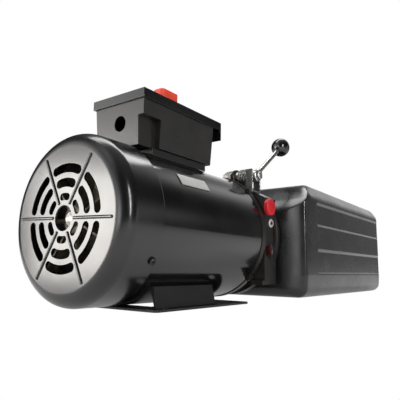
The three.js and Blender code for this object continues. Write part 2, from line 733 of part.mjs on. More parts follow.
// Pressed sheet: flat feet on a plate, and a cradle that follows the shell.
function motorBase() {
  const floor = -SHAFT_HEIGHT;
  const end = BASE_START + BASE_LENGTH;
  const half = BASE_WIDTH / 2;
  const outline = rounded([
    [BASE_START, -half, BASE_CORNER], [end, -half, BASE_CORNER],
    [end, half, BASE_CORNER], [BASE_START, half, BASE_CORNER],
  ]);
  const plate = extrudeZ(outline, floor, floor + BASE_SHEET);
  const windowSide = half - BASE_WINDOW_SIDE;
  const window = block(BASE_START + BASE_WINDOW_MARGIN, end - BASE_WINDOW_MARGIN, -windowSide, windowSide,
    floor - 1, floor + BASE_SHEET + 1);
  const inner = SHELL_RADIUS + GAP;
  const outer = inner + BASE_SHEET;
  const reach = THREE.MathUtils.radToDeg(Math.asin(CRADLE_HALF_WIDTH / inner));
  const foot = CRADLE_HALF_WIDTH + CRADLE_FOOT;
  const crest = polar(inner, -90 + reach);
  const footing = floor + BASE_SHEET / 2;
  const cradle = [
    ...arc(inner, -90 - reach, -90 + reach, 12), [crest[0] + 3, crest[1] - 1], [foot, footing],
    [foot - 3, footing], [crest[0] - 0.5, crest[1] - 4], ...arc(outer, -90 + reach - 6, -90 - reach + 6, 10),
    [0.5 - crest[0], crest[1] - 4], [3 - foot, footing], [-foot, footing], [-crest[0] - 3, crest[1] - 1],
  ];
  const cradleStart = BASE_START + CRADLE_INSET;
  const saddle = extrudeX(cradle, cradleStart, cradleStart + CRADLE_LENGTH);
  const slotPlaces = [BASE_START + BASE_SLOT_INSETS[0], end - BASE_SLOT_INSETS[1]];
  const slots = [-1, 1].flatMap((side) => slotPlaces.map((x) => {
    const long = BASE_SLOT_LENGTH / 2;
    const wide = BASE_SLOT_WIDTH / 2;
    const round = wide - 0.01;
    const y = side * (half - BASE_SLOT_SIDE);
    const slot = rounded([
      [x - long, y - wide, round], [x + long, y - wide, round],
      [x + long, y + wide, round], [x - long, y + wide, round],
    ]);
    return extrudeZ(slot, floor - 1, floor + BASE_SHEET + 1);
  }));
  return castBlack('motor_base', cut(joined(cut(plate, window), saddle), ...slots));
}

// ---- Control box ----

function taperedBox(x0, x1, halfTop, z0, z1, lean) {
  const outline = [[-halfTop, z1], [halfTop, z1], [halfTop - lean, z0], [lean - halfTop, z0]];
  const prism = extrudeX(outline, x0, x1);
  const profile = [[x0, z1], [x1, z1], [x1 - lean, z0], [x0 + lean, z0]];
  return common(prism, extrudeY(profile, -halfTop - 1, halfTop + 1));
}

function lidScrewPlaces() {
  return [BOX_START + TAB_SCREW_INSET, BOX_END - TAB_SCREW_INSET];
}

function boxBody() {
  const wall = BOX_SHEET;
  const floor = BOX_FLOOR + wall;
  const half = BOX_HALF_WIDTH - wall;
  const outer = taperedBox(BOX_START, BOX_END, BOX_HALF_WIDTH, BOX_FLOOR, BOX_TOP, BOX_TAPER);
  const inner = taperedBox(BOX_START + wall, BOX_END - wall, half, floor, BOX_TOP + 1, BOX_TAPER);
  const side = -BOX_HALF_WIDTH - 1;
  const notchY = -BOX_HALF_WIDTH + NOTCH_DEPTH;
  const notchX = BOX_START + NOTCH_LENGTH;
  const notch = block(BOX_START - 1, notchX, side, notchY, BOX_FLOOR - 1, NOTCH_TOP);
  const liningTop = NOTCH_TOP + wall;
  const lining = block(BOX_START - 2, notchX + wall, side - 1, notchY + wall, BOX_FLOOR - 2, liningTop);
  const shell = cut(cut(outer, notch), cut(inner, lining));
  const tab = block(-TAB_HALF_LENGTH, TAB_HALF_LENGTH, -TAB_HALF_WIDTH, TAB_HALF_WIDTH, -TAB_SHEET, 0);
  const tabs = lidScrewPlaces().map((x) => tab.clone().translate(x, 0, BOX_TOP));
  const tabHoles = lidScrewPlaces().map((x) => rodZ(SCREW_RADIUS + GAP, BOX_TOP - 4, BOX_TOP + 1, x, 0, 8));
  const entry = rodX(ENTRY_RADIUS, BOX_START - 2, BOX_START + 8, ENTRY_Y, ENTRY_HEIGHT, 24);
  const leads = rodZ(LEAD_HOLE, BOX_FLOOR - 1, BOX_FLOOR + 3, SADDLE_START + SADDLE_LENGTH / 2, 0);
  return part('box_body', cut(joined(shell, ...tabs), ...tabHoles, entry, leads), 0x2a2927, 0.5, 0.0);
}

function boxSaddle() {
  const end = SADDLE_START + SADDLE_LENGTH;
  const half = SADDLE_HALF_WIDTH;
  const base = block(SADDLE_START, end, -half, half, SHELL_RADIUS - SADDLE_DROP, BOX_FLOOR - GAP);
  const barrel = rodX(SHELL_RADIUS + GAP, SADDLE_START - 1, end + 1, 0, 0, 2 * FINE);
  const leads = rodZ(LEAD_HOLE, SHELL_RADIUS - 20, BOX_FLOOR + 1, SADDLE_START + SADDLE_LENGTH / 2, 0);
  return castBlack('box_saddle', cut(base, barrel, leads));
}

// Round-ended outline round the push button, grown by a margin.
function buttonOutline(margin) {
  const long = BUTTON_LENGTH / 2 + margin;
  const wide = BUTTON_WIDTH / 2 + margin;
  const radius = Math.max(wide - 2.5, 1);
  return rounded([
    [BUTTON_X - long, BUTTON_Y - wide, radius], [BUTTON_X + long, BUTTON_Y - wide, radius],
    [BUTTON_X + long, BUTTON_Y + wide, radius], [BUTTON_X - long, BUTTON_Y + wide, radius],
  ], 4);
}

function boxLid() {
  const half = BOX_HALF_WIDTH + GAP + LID_SHEET;
  const start = BOX_START - GAP - LID_SHEET;
  const under = BOX_TOP + GAP;
  const skirtEnd = under - LID_SKIRT + LID_SHEET;
  const outer = block(start, LID_END, -half, half, skirtEnd, LID_TOP);
  const innerHalf = half - LID_SHEET;
  const inner = block(start + LID_SHEET, LID_END - LID_SHEET, -innerHalf, innerHalf, skirtEnd - 1, under);
  const flap = block(LID_END - LID_SHEET, LID_END, -half, half, LID_TOP - LID_FLAP, LID_TOP);
  const holes = lidScrewPlaces().map((x) => rodZ(SCREW_RADIUS + GAP, under - 1, LID_TOP + 1, x, 0, 8));
  const buttonHole = extrudeZ(buttonOutline(GAP), under - 1, LID_TOP + 1);
  return glossBlack('box_lid', cut(joined(cut(outer, inner), flap), buttonHole, ...holes));
}

function lidScrews() {
  return lidScrewPlaces().map((x, i) => {
    const seat = LID_TOP + GAP;
    const head = rodZ(SCREW_HEAD_RADIUS, seat, seat + SCREW_HEAD_HEIGHT, x, 0, 12);
    const shank = rodZ(SCREW_RADIUS, BOX_TOP - 6, seat + 0.7, x, 0, 8);
    return zinc(`lid_screw_${i + 1}`, joined(head, shank));
  });
}

function pushButton() {
  const top = LID_TOP + BUTTON_STAND;
  const low = BOX_TOP - BUTTON_SKIRT;
  const cap = extrudeZ(buttonOutline(0), low, top - BUTTON_CROWN);
  const crown = extrudeZ(buttonOutline(-BUTTON_CROWN_INSET), top - BUTTON_CROWN - 1, top);
  const flange = extrudeZ(buttonOutline(BUTTON_FLANGE), low, BOX_TOP);
  return part('push_button', joined(cap, crown, flange), 0xe2543a, 0.45, 0.0);
}

function switchHousing() {
  const floor = BOX_TOP - SWITCH_DEPTH;
  const cavity = BUTTON_FLANGE + GAP;
  const body = extrudeZ(buttonOutline(cavity + SWITCH_WALL), floor, BOX_TOP);
  const bore = extrudeZ(buttonOutline(cavity), floor + SWITCH_FLOOR, BOX_TOP + 1);
  return part('switch_housing', cut(body, bore), 0x1c1c1e, 0.6, 0.0);
}

function buttonSpring() {
  const floor = BOX_TOP - SWITCH_DEPTH + SWITCH_FLOOR;
  const length = BOX_TOP - BUTTON_SKIRT - floor - 2 * GAP;
  const spring = coil(BUTTON_SPRING_RADIUS, 0.7, 4, length).translate(BUTTON_X, BUTTON_Y, floor + GAP);
  return steel('button_spring', spring);
}

function startCapacitor() {
  const end = BOX_END - CAPACITOR_INSET;
  const start = end - CAPACITOR_LENGTH;
  const z = BOX_FLOOR + BOX_SHEET + CAPACITOR_RADIUS + 3;
  const can = rodX(CAPACITOR_RADIUS, start, end, CAPACITOR_Y, z, 24);
  const posts = [-6, 6].map((shift) => (
    rodX(POST_RADIUS, start - POST_LENGTH, start + 1, CAPACITOR_Y + shift, z, 8)
  ));
  return part('start_capacitor', joined(can, ...posts), 0x1d1d20, 0.5, 0.0);
}

// ---- Manifold ----

function portX(port) {
  return MANIFOLD_START + port.inset;
}

function manifoldBlock() {
  const near = -MANIFOLD_HALF_WIDTH;
  const far = MANIFOLD_FAR_SIDE;
  const top = MANIFOLD_TOP;
  const outline = [
    [near, MANIFOLD_BOTTOM], [far, MANIFOLD_BOTTOM], [far, MANIFOLD_SHOULDER],
    [far - MANIFOLD_CHAMFER, top], [near + MANIFOLD_CHAMFER, top], [near, MANIFOLD_SHOULDER],
  ];
  const body = extrudeX(outline, MANIFOLD_START, MANIFOLD_END);
  const flange = rodX(CLAMP_RING_RADIUS, MANIFOLD_END - FLANGE_PLATE, MANIFOLD_END, 0, 0, FINE);
  const spigot = rodX(SPIGOT_RADIUS, MANIFOLD_END - 1, SPIGOT_END, 0, 0, FINE);
  const lug = block(-LUG_HALF_LENGTH, LUG_HALF_LENGTH, ...LUG_SIDES, top - 1, PIVOT_Z - LUG_DROP);
  lug.translate(PIVOT_X, 0, 0);
  const ledgeTop = MANIFOLD_BOTTOM + LEDGE_HEIGHT;
  const ledge = block(MANIFOLD_START - LEDGE_REACH, MANIFOLD_START + 1, near, near + LEDGE_LENGTH,
    MANIFOLD_BOTTOM, ledgeTop);
  const bellRim = rodX(SHELL_RADIUS + 6.5, SHELL_START, FLANGE_END + 1, 0, 0, FINE);
  const couplingBore = rodX(COUPLING_BORE, MANIFOLD_START - 1, MANIFOLD_START + COUPLING_DEPTH, 0, 0, 24);
  const shaftBore = rodX(PUMP_SHAFT_RADIUS + GAP, MANIFOLD_START + 20, SPIGOT_END + 1);
  const idlerStart = SPIGOT_END - IDLER_DEPTH;
  const idlerBore = rodX(PUMP_SHAFT_RADIUS + GAP, idlerStart, SPIGOT_END + 1, 0, -GEAR_DISTANCE);
  const valveSeat = rodY(VALVE_RING_RADIUS + GAP, VALVE_END - 1, VALVE_START + 1, PIVOT_X, PIVOT_Z, 24);
  const boltBores = pumpBoltPlaces().map(([y, z]) => (
    rodX(PUMP_BOLT_RADIUS + GAP, SPIGOT_END - 12, SPIGOT_END + 1, y, z, 8)
  ));
  const returnStart = SPIGOT_END - 8;
  const returnBore = rodX(OIL_TUBE_RADIUS + GAP, returnStart, SPIGOT_END + 1, RETURN_TUBE_Y, RETURN_TUBE_Z);
  const nearPort = (port, segments) => (
    rodY(port.radius, near - 1, near + port.depth, portX(port), port.z, segments)
  );
  const relief = RELIEF_PORT;
  const ports = [
    nearPort(PRESSURE_PORT, 20), nearPort(CHECK_PORT, 12), nearPort(RETURN_PORT, 20),
    rodY(relief.radius, far - relief.depth, far + 1, portX(relief), relief.z, 16),
  ];
  const casting = joined(body, flange, spigot, lug, cut(ledge, bellRim));
  const tools = [couplingBore, shaftBore, idlerBore, valveSeat, returnBore, ...boltBores, ...ports];
  return castBlack('manifold_block', cut(casting, ...tools));
}

function pressurePortPlug() {
  const x = portX(PRESSURE_PORT);
  const { z, radius } = PRESSURE_PORT;
  const face = -MANIFOLD_HALF_WIDTH - GAP;
  const cap = rodY(PLUG_CAP_RADIUS, face - PLUG_CAP_HEIGHT + 2, face, x, z, 24);
  const dome = rodY(PLUG_CAP_RADIUS - 2, face - PLUG_CAP_HEIGHT, face - 1, x, z, 24);
  const stem = rodY(radius - GAP, face - 1, face + PLUG_STEM, x, z, 20);
  return part('pressure_port_plug', joined(cap, dome, stem), 0xc81e26, 0.4, 0.0);
}

function checkPlug() {
  const x = portX(CHECK_PORT);
  const { z, radius } = CHECK_PORT;
  const face = -MANIFOLD_HALF_WIDTH - GAP;
  const head = rodY(radius + CHECK_HEAD_LIP, face - CHECK_HEAD_LIP, face, x, z, 20);
  const stem = rodY(radius - GAP, face - 0.5, face + 10, x, z, 12);
  const socket = rodY(CHECK_SOCKET_RADIUS, face - 2, face + 5, x, z, 6);
  return part('check_plug', cut(joined(head, stem), socket), 0xdcdcda, 0.3, 0.6);
}

function checkBall() {
  const y = -MANIFOLD_HALF_WIDTH + 33;
  const ball = new THREE.SphereGeometry(CHECK_BALL_RADIUS, 8, 6);
  return steel('check_ball', ball.translate(portX(CHECK_PORT), y, CHECK_PORT.z));
}

function checkSpring() {
  const spring = coil(2.8, 0.5, 4, 17.5).rotateX(-Math.PI / 2);
  const y = -MANIFOLD_HALF_WIDTH + 10.8;
  return steel('check_spring', spring.translate(portX(CHECK_PORT), y, CHECK_PORT.z));
}

function returnPortPlug() {
  const x = portX(RETURN_PORT);
  const { z, radius } = RETURN_PORT;
  const face = -MANIFOLD_HALF_WIDTH + RETURN_PLUG_RECESS;
  const body = rodY(radius - GAP, face, face + PLUG_STEM, x, z, 20);
  const recess = rodY(radius - 2, face - 1, face + 10, x, z, 16);
  return part('return_port_plug', cut(body, recess), 0x6a1f22, 0.5, 0.0);
}

function reliefCap() {
  const x = portX(RELIEF_PORT);
  const { z, radius } = RELIEF_PORT;
  const face = MANIFOLD_FAR_SIDE + GAP;
  const hex = rodY(radius + RELIEF_HEX_LIP, face, face + RELIEF_HEX_HEIGHT, x, z, 6);
  const stem = rodY(radius - GAP, face - 9, face + 1, x, z, 16);
  return zinc('relief_cap', joined(hex, stem));
}

function reliefSpring() {
  const spring = coil(4.5, 0.8, 4, 15).rotateX(-Math.PI / 2);
  const y = MANIFOLD_FAR_SIDE - 24.2;
  return steel('relief_spring', spring.translate(portX(RELIEF_PORT), y, RELIEF_PORT.z));
}

function reliefPoppet() {
  const x = portX(RELIEF_PORT);
  const { z, radius } = RELIEF_PORT;
  const end = MANIFOLD_FAR_SIDE - 25;
  const body = rodY(radius - GAP, end - 5, end, x, z, 16);
  const tip = new THREE.CylinderGeometry(radius - 1, 1, 5, 16).translate(x, end - 6.5, z);
  return steel('relief_poppet', joined(body, tip));
}

// ---- Release valve and lever ----

function valveBody() {
  const hexEnd = VALVE_START - VALVE_HEX_LENGTH;
  const hex = rodY(VALVE_HEX_RADIUS, hexEnd, VALVE_START, PIVOT_X, PIVOT_Z, 6);
  const barrel = rodY(VALVE_RADIUS, VALVE_END, hexEnd + 1, PIVOT_X, PIVOT_Z, 20);
  const bore = rodY(SPINDLE_RADIUS + GAP, VALVE_END - 1, VALVE_START - 8, PIVOT_X, PIVOT_Z);
  return zinc('valve_body', cut(joined(hex, barrel), bore));
}

function valveLockRing() {
  const y1 = VALVE_START - VALVE_HEX_LENGTH - GAP;
  const y0 = y1 - VALVE_RING_LENGTH;
  const ring = rodY(VALVE_RING_RADIUS, y0, y1, PIVOT_X, PIVOT_Z, 20);
  const bore = rodY(VALVE_RADIUS + GAP, y0 - 1, y1 + 1, PIVOT_X, PIVOT_Z, 20);
  return part('valve_lock_ring', cut(ring, bore), 0x2c2c2e, 0.35, 0.6);
}

function valveSpindle() {
  const stem = rodY(SPINDLE_RADIUS, HUB_END - 1, VALVE_START - 9, PIVOT_X, PIVOT_Z);
  const head = rodY(SPINDLE_HEAD_RADIUS, HUB_END - 3.5, HUB_END - GAP, PIVOT_X, PIVOT_Z, 6);
  return zinc('valve_spindle', joined(stem, head));
}

// Tilts a rod made along +X up to the lever's angle, about the pivot.
function alongLever(radius, from, to, segments) {
  const rod = rodX(radius, from, to, 0, 0, segments);
  return rod.rotateY(-THREE.MathUtils.degToRad(LEVER_ANGLE)).translate(PIVOT_X, LEVER_Y, PIVOT_Z);
}

function leverHub() {
  const hub = rodY(HUB_RADIUS, HUB_END, HUB_START, PIVOT_X, PIVOT_Z, 20);
  const neck = alongLever(HUB_NECK_RADIUS, SPINDLE_RADIUS + 0.5, HUB_RADIUS + 5.5, 12);
  const bore = rodY(SPINDLE_RADIUS + GAP, HUB_END - 1, HUB_START + 1, PIVOT_X, PIVOT_Z);
  const socket = alongLever(ROD_RADIUS + GAP, SPINDLE_RADIUS + 2, HUB_RADIUS + 7.5, 12);
  return zinc('lever_hub', cut(joined(hub, neck), bore, socket));
}

function leverRod() {
  return zinc('lever_rod', alongLever(ROD_RADIUS, SPINDLE_RADIUS + 2.5, LEVER_REACH - 3, 12));
}

function leverKnob() {
  const ball = new THREE.SphereGeometry(KNOB_RADIUS, 16, 12);
  const angle = THREE.MathUtils.degToRad(LEVER_ANGLE);
  const centre = [LEVER_REACH * Math.cos(angle), LEVER_REACH * Math.sin(angle)];
  const placed = ball.translate(PIVOT_X + centre[0], LEVER_Y, PIVOT_Z + centre[1]);
  const socket = alongLever(ROD_RADIUS + GAP, LEVER_REACH - KNOB_RADIUS - 2, LEVER_REACH - 2, 12);
  return glossBlack('lever_knob', cut(placed, socket));
}

// Bent steel fork on the manifold: the hub's neck comes down on its short leg.
function leverBracket() {
  const z = MANIFOLD_TOP + GAP;
  const floor = z + BRACKET_SHEET;
  const inside = HUB_RADIUS + 1;
  const outside = inside + BRACKET_SHEET;
  const lowest = THREE.MathUtils.degToRad(LEVER_ANGLE - LEVER_SWING);
  const stop = PIVOT_Z + inside * Math.tan(lowest) - HUB_NECK_RADIUS / Math.cos(lowest) - GAP;
  const tall = PIVOT_Z + BRACKET_RISE;
  const profile = [
    [PIVOT_X - outside, z], [PIVOT_X + outside, z], [PIVOT_X + outside, stop], [PIVOT_X + inside, stop],
    [PIVOT_X + inside, floor], [PIVOT_X - inside, floor], [PIVOT_X - inside, tall], [PIVOT_X - outside, tall],
  ];
  return zinc('lever_bracket', extrudeY(profile, ...BRACKET_SIDES));
}

function leverSpring() {
  const spring = coil(VALVE_RADIUS + 1.6, 0.8, 4, LEVER_SPRING_LENGTH).rotateX(-Math.PI / 2);
  return steel('lever_spring', spring.translate(PIVOT_X, VALVE_END + 1, PIVOT_Z));
}

// ---- Gear pump ----

function pumpBoltPlaces() {
  return [-1, 1].map((side) => [side * PUMP_BOLT_REACH, -GEAR_PITCH_RADIUS]);
}

function pumpOutline() {
  const side = GEAR_TIP_RADIUS + GAP + PUMP_WALL;
  const low = -GEAR_DISTANCE - side;
  const round = PUMP_CORNER;
  return rounded([[-side, low, round], [side, low, round], [side, side, round], [-side, side, round]]);
}

function pumpBody() {
  const body = extrudeX(pumpOutline(), PUMP_START, PUMP_END);
  const bore = (z) => rodX(GEAR_TIP_RADIUS + GAP, PUMP_START - 1, PUMP_END + 1, 0, z, 32);
  const bolts = pumpBoltPlaces().map(([y, z]) => (
    rodX(PUMP_BOLT_RADIUS + GAP, PUMP_START - 1, PUMP_END + 1, y, z, 8)
  ));
  return aluminium('pump_body', cut(body, bore(0), bore(-GEAR_DISTANCE), ...bolts));
}

function pumpCover() {
  const plate = extrudeX(pumpOutline(), COVER_PLATE_START, COVER_PLATE_END);
  const bore = (z) => rodX(PUMP_SHAFT_RADIUS + GAP, COVER_PLATE_START - 1, COVER_PLATE_END - 2, 0, z);
  const bolts = pumpBoltPlaces().map(([y, z]) => (
    rodX(PUMP_BOLT_RADIUS + GAP, COVER_PLATE_START - 1, COVER_PLATE_END + 1, y, z, 8)
  ));
  const inlet = rodX(OIL_TUBE_RADIUS + GAP, COVER_PLATE_START - 1, COVER_PLATE_END + 1, INLET_Y, INLET_Z);
  return aluminium('pump_cover', cut(plate, bore(0), bore(-GEAR_DISTANCE), inlet, ...bolts));
}

// Involute spur gear about the shaft line; turn is in degrees.
function gearProfile(turn) {
  const base = GEAR_PITCH_RADIUS * Math.cos(THREE.MathUtils.degToRad(PRESSURE_ANGLE));
  const root = GEAR_PITCH_RADIUS - 1.15 * GEAR_MODULE;
  const involute = (r) => {
    const angle = Math.acos(Math.min(1, base / r));
    return Math.tan(angle) - angle;
  };
  const halfTooth = Math.PI / (2 * GEAR_TEETH) - BACKLASH / (2 * GEAR_PITCH_RADIUS);
  const flank = [base, GEAR_PITCH_RADIUS, GEAR_TIP_RADIUS];
  const points = [];
  const place = (r, angle) => points.push([r * Math.cos(angle), r * Math.sin(angle)]);
  for (let i = 0; i < GEAR_TEETH; i++) {
    const middle = THREE.MathUtils.degToRad(turn) + 2 * Math.PI * i / GEAR_TEETH;
    const halfAt = (r) => halfTooth + involute(GEAR_PITCH_RADIUS) - involute(r);
    place(root, middle - halfAt(base) - 0.02);
    for (const r of flank) place(r, middle - halfAt(r));
    for (const r of [...flank].reverse()) place(r, middle + halfAt(r));
    place(root, middle + halfAt(base) + 0.02);
  }
  return points;
}

function gear(name, z, turn, x0, x1) {
  const start = PUMP_START + GAP;
  const teeth = extrudeX(gearProfile(turn), start, start + GEAR_WIDTH);
  const shaft = rodX(PUMP_SHAFT_RADIUS, x0, x1);
  return steel(name, joined(teeth, shaft).translate(0, 0, z));
}

function driveGear() {
  return gear('drive_gear', 0, 90, SHAFT_END + 1, COVER_PLATE_END - 2.5);
}

function drivenGear() {
  const turn = 90 + 180 / GEAR_TEETH;
  return gear('driven_gear', -GEAR_DISTANCE, turn, SPIGOT_END - IDLER_DEPTH + 1, COVER_PLATE_END - 2.5);
}

function pumpBolts() {
  return pumpBoltPlaces().map(([y, z], i) => {
    const head = rodX(PUMP_BOLT_HEAD, COVER_PLATE_END + GAP, COVER_PLATE_END + 5, y, z, 6);
    const shank = rodX(PUMP_BOLT_RADIUS, SPIGOT_END - 10, COVER_PLATE_END + 1, y, z, 8);
    return zinc(`pump_bolt_${i + 1}`, joined(head, shank));
  });
}

// ---- Oil lines in the tank ----

function suctionTube() {
  const x = COVER_PLATE_END;
  const path = [
    [x - 4, INLET_Y, INLET_Z], [x + 3, INLET_Y, INLET_Z], [x + 14, INLET_Y, INLET_Z],
    [x + 32, INLET_Y, INLET_Z - 8], [x + 50, INLET_Y, STRAINER_Z], [STRAINER_X - 6, INLET_Y, STRAINER_Z],
    [STRAINER_X, INLET_Y, STRAINER_Z], [STRAINER_X + 6, INLET_Y, STRAINER_Z],
  ];
  return part('suction_tube', oilTube(path, 20), 0x2a2a2c, 0.5, 0.0);
}

function suctionStrainer() {
  const collar = OIL_TUBE_RADIUS + GAP;
  const collarEnd = STRAINER_X + 8;
  const end = STRAINER_X + STRAINER_LENGTH;
  const inner = STRAINER_RADIUS - 3;
  const can = turned([
    [STRAINER_X, collar], [STRAINER_X, STRAINER_RADIUS], [end, STRAINER_RADIUS], [end, inner],
    [collarEnd, inner], [collarEnd, collar],
  ], 20);
  return part('suction_strainer', can.translate(0, INLET_Y, STRAINER_Z), 0x8a8c86, 0.5, 0.7);
}

function returnTube() {
  const x = SPIGOT_END;
  const low = TANK_BOTTOM + TANK_WALL + 14;
  const path = [
    [x - 6, RETURN_TUBE_Y, RETURN_TUBE_Z], [x + 25, RETURN_TUBE_Y, RETURN_TUBE_Z],
    [x + 42, RETURN_TUBE_Y, RETURN_TUBE_Z - 8], [x + 50, RETURN_TUBE_Y, low],
  ];
  return part('return_tube', oilTube(path, 14), 0x2a2a2c, 0.5, 0.0);
}

// ---- Tank ----

function tankORing() {
  const middle = (SPIGOT_RADIUS + NECK_BORE) / 2;
  const wire = (NECK_BORE - SPIGOT_RADIUS) / 2 - GAP;
  const x = MANIFOLD_END + SPIGOT_LENGTH / 2;
  const section = Array.from({ length: 4 }, (_, k) => {
    const angle = Math.PI * k / 2;
    return [x + wire * Math.cos(angle), middle + wire * Math.sin(angle)];
  });
  return part('tank_o_ring', turned(section), 0x111111, 0.6, 0.0);
}

function clampRing() {
  const step = NECK_START + NECK_LIP + GAP;
  const end = NECK_START + CLAMP_RING_LENGTH;
  const overLip = NECK_LIP_RADIUS + GAP;
  const overNeck = NECK_RADIUS + GAP;
  const outline = [
    [NECK_START, overLip], [NECK_START, CLAMP_RING_RADIUS], [end, CLAMP_RING_RADIUS],
    [end, overNeck], [step, overNeck], [step, overLip],
  ];
  return castBlack('clamp_ring', turned(outline));
}

// Tank outline grown inward by a wall: the crossing of its end, side and plan outlines.
function tankForm(wall) {
  const x0 = TANK_START + wall;
  const x1 = TANK_END - wall;
  const half = TANK_HALF_WIDTH - wall;
  const low = TANK_BOTTOM + wall;
  const highFront = TANK_TOP_FRONT - wall;
  const highRear = TANK_TOP_REAR - wall;
  const round = Math.max(TANK_CORNER - wall, 1);
  const rear = Math.max(TANK_REAR_CORNER - wall, 1);
  const end = rounded([
    [-half, low, round], [half, low, round], [half, TANK_SIDE_SHOULDER, round],
    [half - TANK_SIDE_BEVEL, highFront + 1], [TANK_SIDE_BEVEL - half, highFront + 1],
    [-half, TANK_SIDE_SHOULDER, round],
  ], 2);
  const bevelTop = TANK_START + TANK_FRONT_BEVEL;
  const profile = rounded([
    [x0, low, round], [x1, low, rear], [x1, highRear, rear], [bevelTop, highFront],
    [x0, TANK_FRONT_SHOULDER - wall / 2],
  ]);
  const plan = rounded([
    [x0, -half, round], [x1, -half, rear], [x1, half, rear], [x0, half, round],
  ]);
  return common(
    extrudeX(end, x0 - 1, x1 + 1),
    extrudeY(profile, -half - 1, half + 1),
    extrudeZ(plan, low - 1, highFront + 2),
  );
}

function tank() {
  const panels = [-1, 1].flatMap((side) => PANEL_BANDS.map(([low, high]) => {
    const y0 = side * (TANK_HALF_WIDTH - PANEL_DEPTH);
    const y1 = side * (TANK_HALF_WIDTH + 2);
    return block(TANK_START + PANEL_FRONT_MARGIN, TANK_END - PANEL_REAR_MARGIN,
      Math.min(y0, y1), Math.max(y0, y1), low, high);
  }));
  const neck = rodX(NECK_RADIUS, NECK_START, TANK_START + 1, 0, 0, FINE);
  const lip = rodX(NECK_LIP_RADIUS, NECK_START, NECK_START + NECK_LIP, 0, 0, FINE);
  const mouth = rodX(NECK_BORE, NECK_START - 1, TANK_START + TANK_WALL + 1, 0, 0, FINE);
  const low = TANK_TOP_REAR - 2;
  const boss = rodZ(FILLER_RADIUS + FILLER_BOSS_LIP, low, FILLER_SEAT, FILLER_X, FILLER_Y, 24);
  const filler = rodZ(FILLER_HOLE, low - TANK_WALL, FILLER_SEAT + 1, FILLER_X, FILLER_Y, 20);
  const outside = cut(tankForm(0), ...panels);
  return glossBlack('tank', cut(joined(outside, neck, lip, boss), tankForm(TANK_WALL), mouth, filler));
}

function fillerCap() {
  const seat = FILLER_SEAT + GAP;
  const cap = rodZ(FILLER_RADIUS, seat, seat + FILLER_HEIGHT - 2, FILLER_X, FILLER_Y, 24);
  const crown = rodZ(FILLER_RADIUS - 2, seat, seat + FILLER_HEIGHT, FILLER_X, FILLER_Y, 24);
  const plug = rodZ(FILLER_HOLE - GAP, TANK_TOP_REAR - TANK_WALL - 4, seat + 1, FILLER_X, FILLER_Y, 20);
  const grips = Array.from({ length: FILLER_GRIPS }, (_, i) => {
    const grip = rodZ(FILLER_GRIP_RADIUS, seat + 1, seat + FILLER_HEIGHT + 1, FILLER_RADIUS + 0.4, 0, 6);
    return grip.rotateZ(2 * Math.PI * i / FILLER_GRIPS).translate(FILLER_X, FILLER_Y, 0);
  });
  return part('filler_cap', cut(joined(cap, crown, plug), ...grips), 0x1a1a1c, 0.5, 0.0);
}

// ---- Assembly ----

const unit = new THREE.Group();
unit.add(
  fanCover(), ...coverScrews(), coolingFan(),
  motorShell(), nameplate(), fanEndBell(), pumpEndBell(), ...throughBolts(),
  statorCore(), statorWinding(), rotorCore(), motorShaft(),
  bearing('fan_end_bearing', FAN_BEARING_START), bearing('pump_end_bearing', PUMP_BEARING_START),
  driveCoupling(), motorBase(),
  boxSaddle(), boxBody(), boxLid(), ...lidScrews(),
  pushButton(), switchHousing(), buttonSpring(), startCapacitor(),
  manifoldBlock(), pressurePortPlug(), checkPlug(), checkBall(), checkSpring(), returnPortPlug(),
  reliefCap(), reliefSpring(), reliefPoppet(),
  valveBody(), valveLockRing(), valveSpindle(), leverHub(), leverRod(), leverKnob(),
  leverBracket(), leverSpring(),
  pumpBody(), pumpCover(), driveGear(), drivenGear(), ...pumpBolts(),
  suctionTube(), suctionStrainer(), returnTube(),
  tankORing(), clampRing(), tank(), fillerCap(),
);

// The origin is on the floor, under the middle of the whole unit.
const frontEnd = -RIB_HEIGHT;
unit.position.set(-(frontEnd + TANK_END) / 2, 0, SHAFT_HEIGHT);

const powerUnit = new THREE.Group();
powerUnit.add(unit);

export default powerUnit;
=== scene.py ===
# Foot-mounted motor, gear-pump manifold and oil tank of a small hydraulic power unit.
# Metres, +Z up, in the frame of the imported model: +X runs along the shaft towards the tank.

import json
import math

import bmesh
import bpy
from mathutils import Matrix, Vector


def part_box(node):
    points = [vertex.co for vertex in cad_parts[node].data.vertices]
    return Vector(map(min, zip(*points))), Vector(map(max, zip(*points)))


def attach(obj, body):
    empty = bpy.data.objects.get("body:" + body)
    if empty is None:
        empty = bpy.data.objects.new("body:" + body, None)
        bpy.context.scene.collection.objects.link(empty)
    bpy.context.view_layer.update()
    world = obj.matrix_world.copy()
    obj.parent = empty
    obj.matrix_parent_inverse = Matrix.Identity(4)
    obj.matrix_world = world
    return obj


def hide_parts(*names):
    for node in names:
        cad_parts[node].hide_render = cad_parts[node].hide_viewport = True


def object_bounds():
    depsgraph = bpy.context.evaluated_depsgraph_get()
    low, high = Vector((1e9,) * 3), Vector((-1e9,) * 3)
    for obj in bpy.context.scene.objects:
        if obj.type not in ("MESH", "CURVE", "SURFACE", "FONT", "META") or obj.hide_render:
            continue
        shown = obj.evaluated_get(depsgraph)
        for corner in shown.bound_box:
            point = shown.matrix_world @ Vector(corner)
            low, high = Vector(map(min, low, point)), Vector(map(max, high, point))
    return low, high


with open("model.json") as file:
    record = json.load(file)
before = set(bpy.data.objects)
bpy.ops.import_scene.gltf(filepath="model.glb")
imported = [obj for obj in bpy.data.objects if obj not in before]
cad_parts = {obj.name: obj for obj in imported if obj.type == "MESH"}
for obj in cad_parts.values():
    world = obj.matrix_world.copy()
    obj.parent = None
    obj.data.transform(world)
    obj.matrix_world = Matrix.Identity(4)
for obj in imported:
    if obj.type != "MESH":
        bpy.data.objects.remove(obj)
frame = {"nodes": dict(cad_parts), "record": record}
cad_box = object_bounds()
MM = 0.001

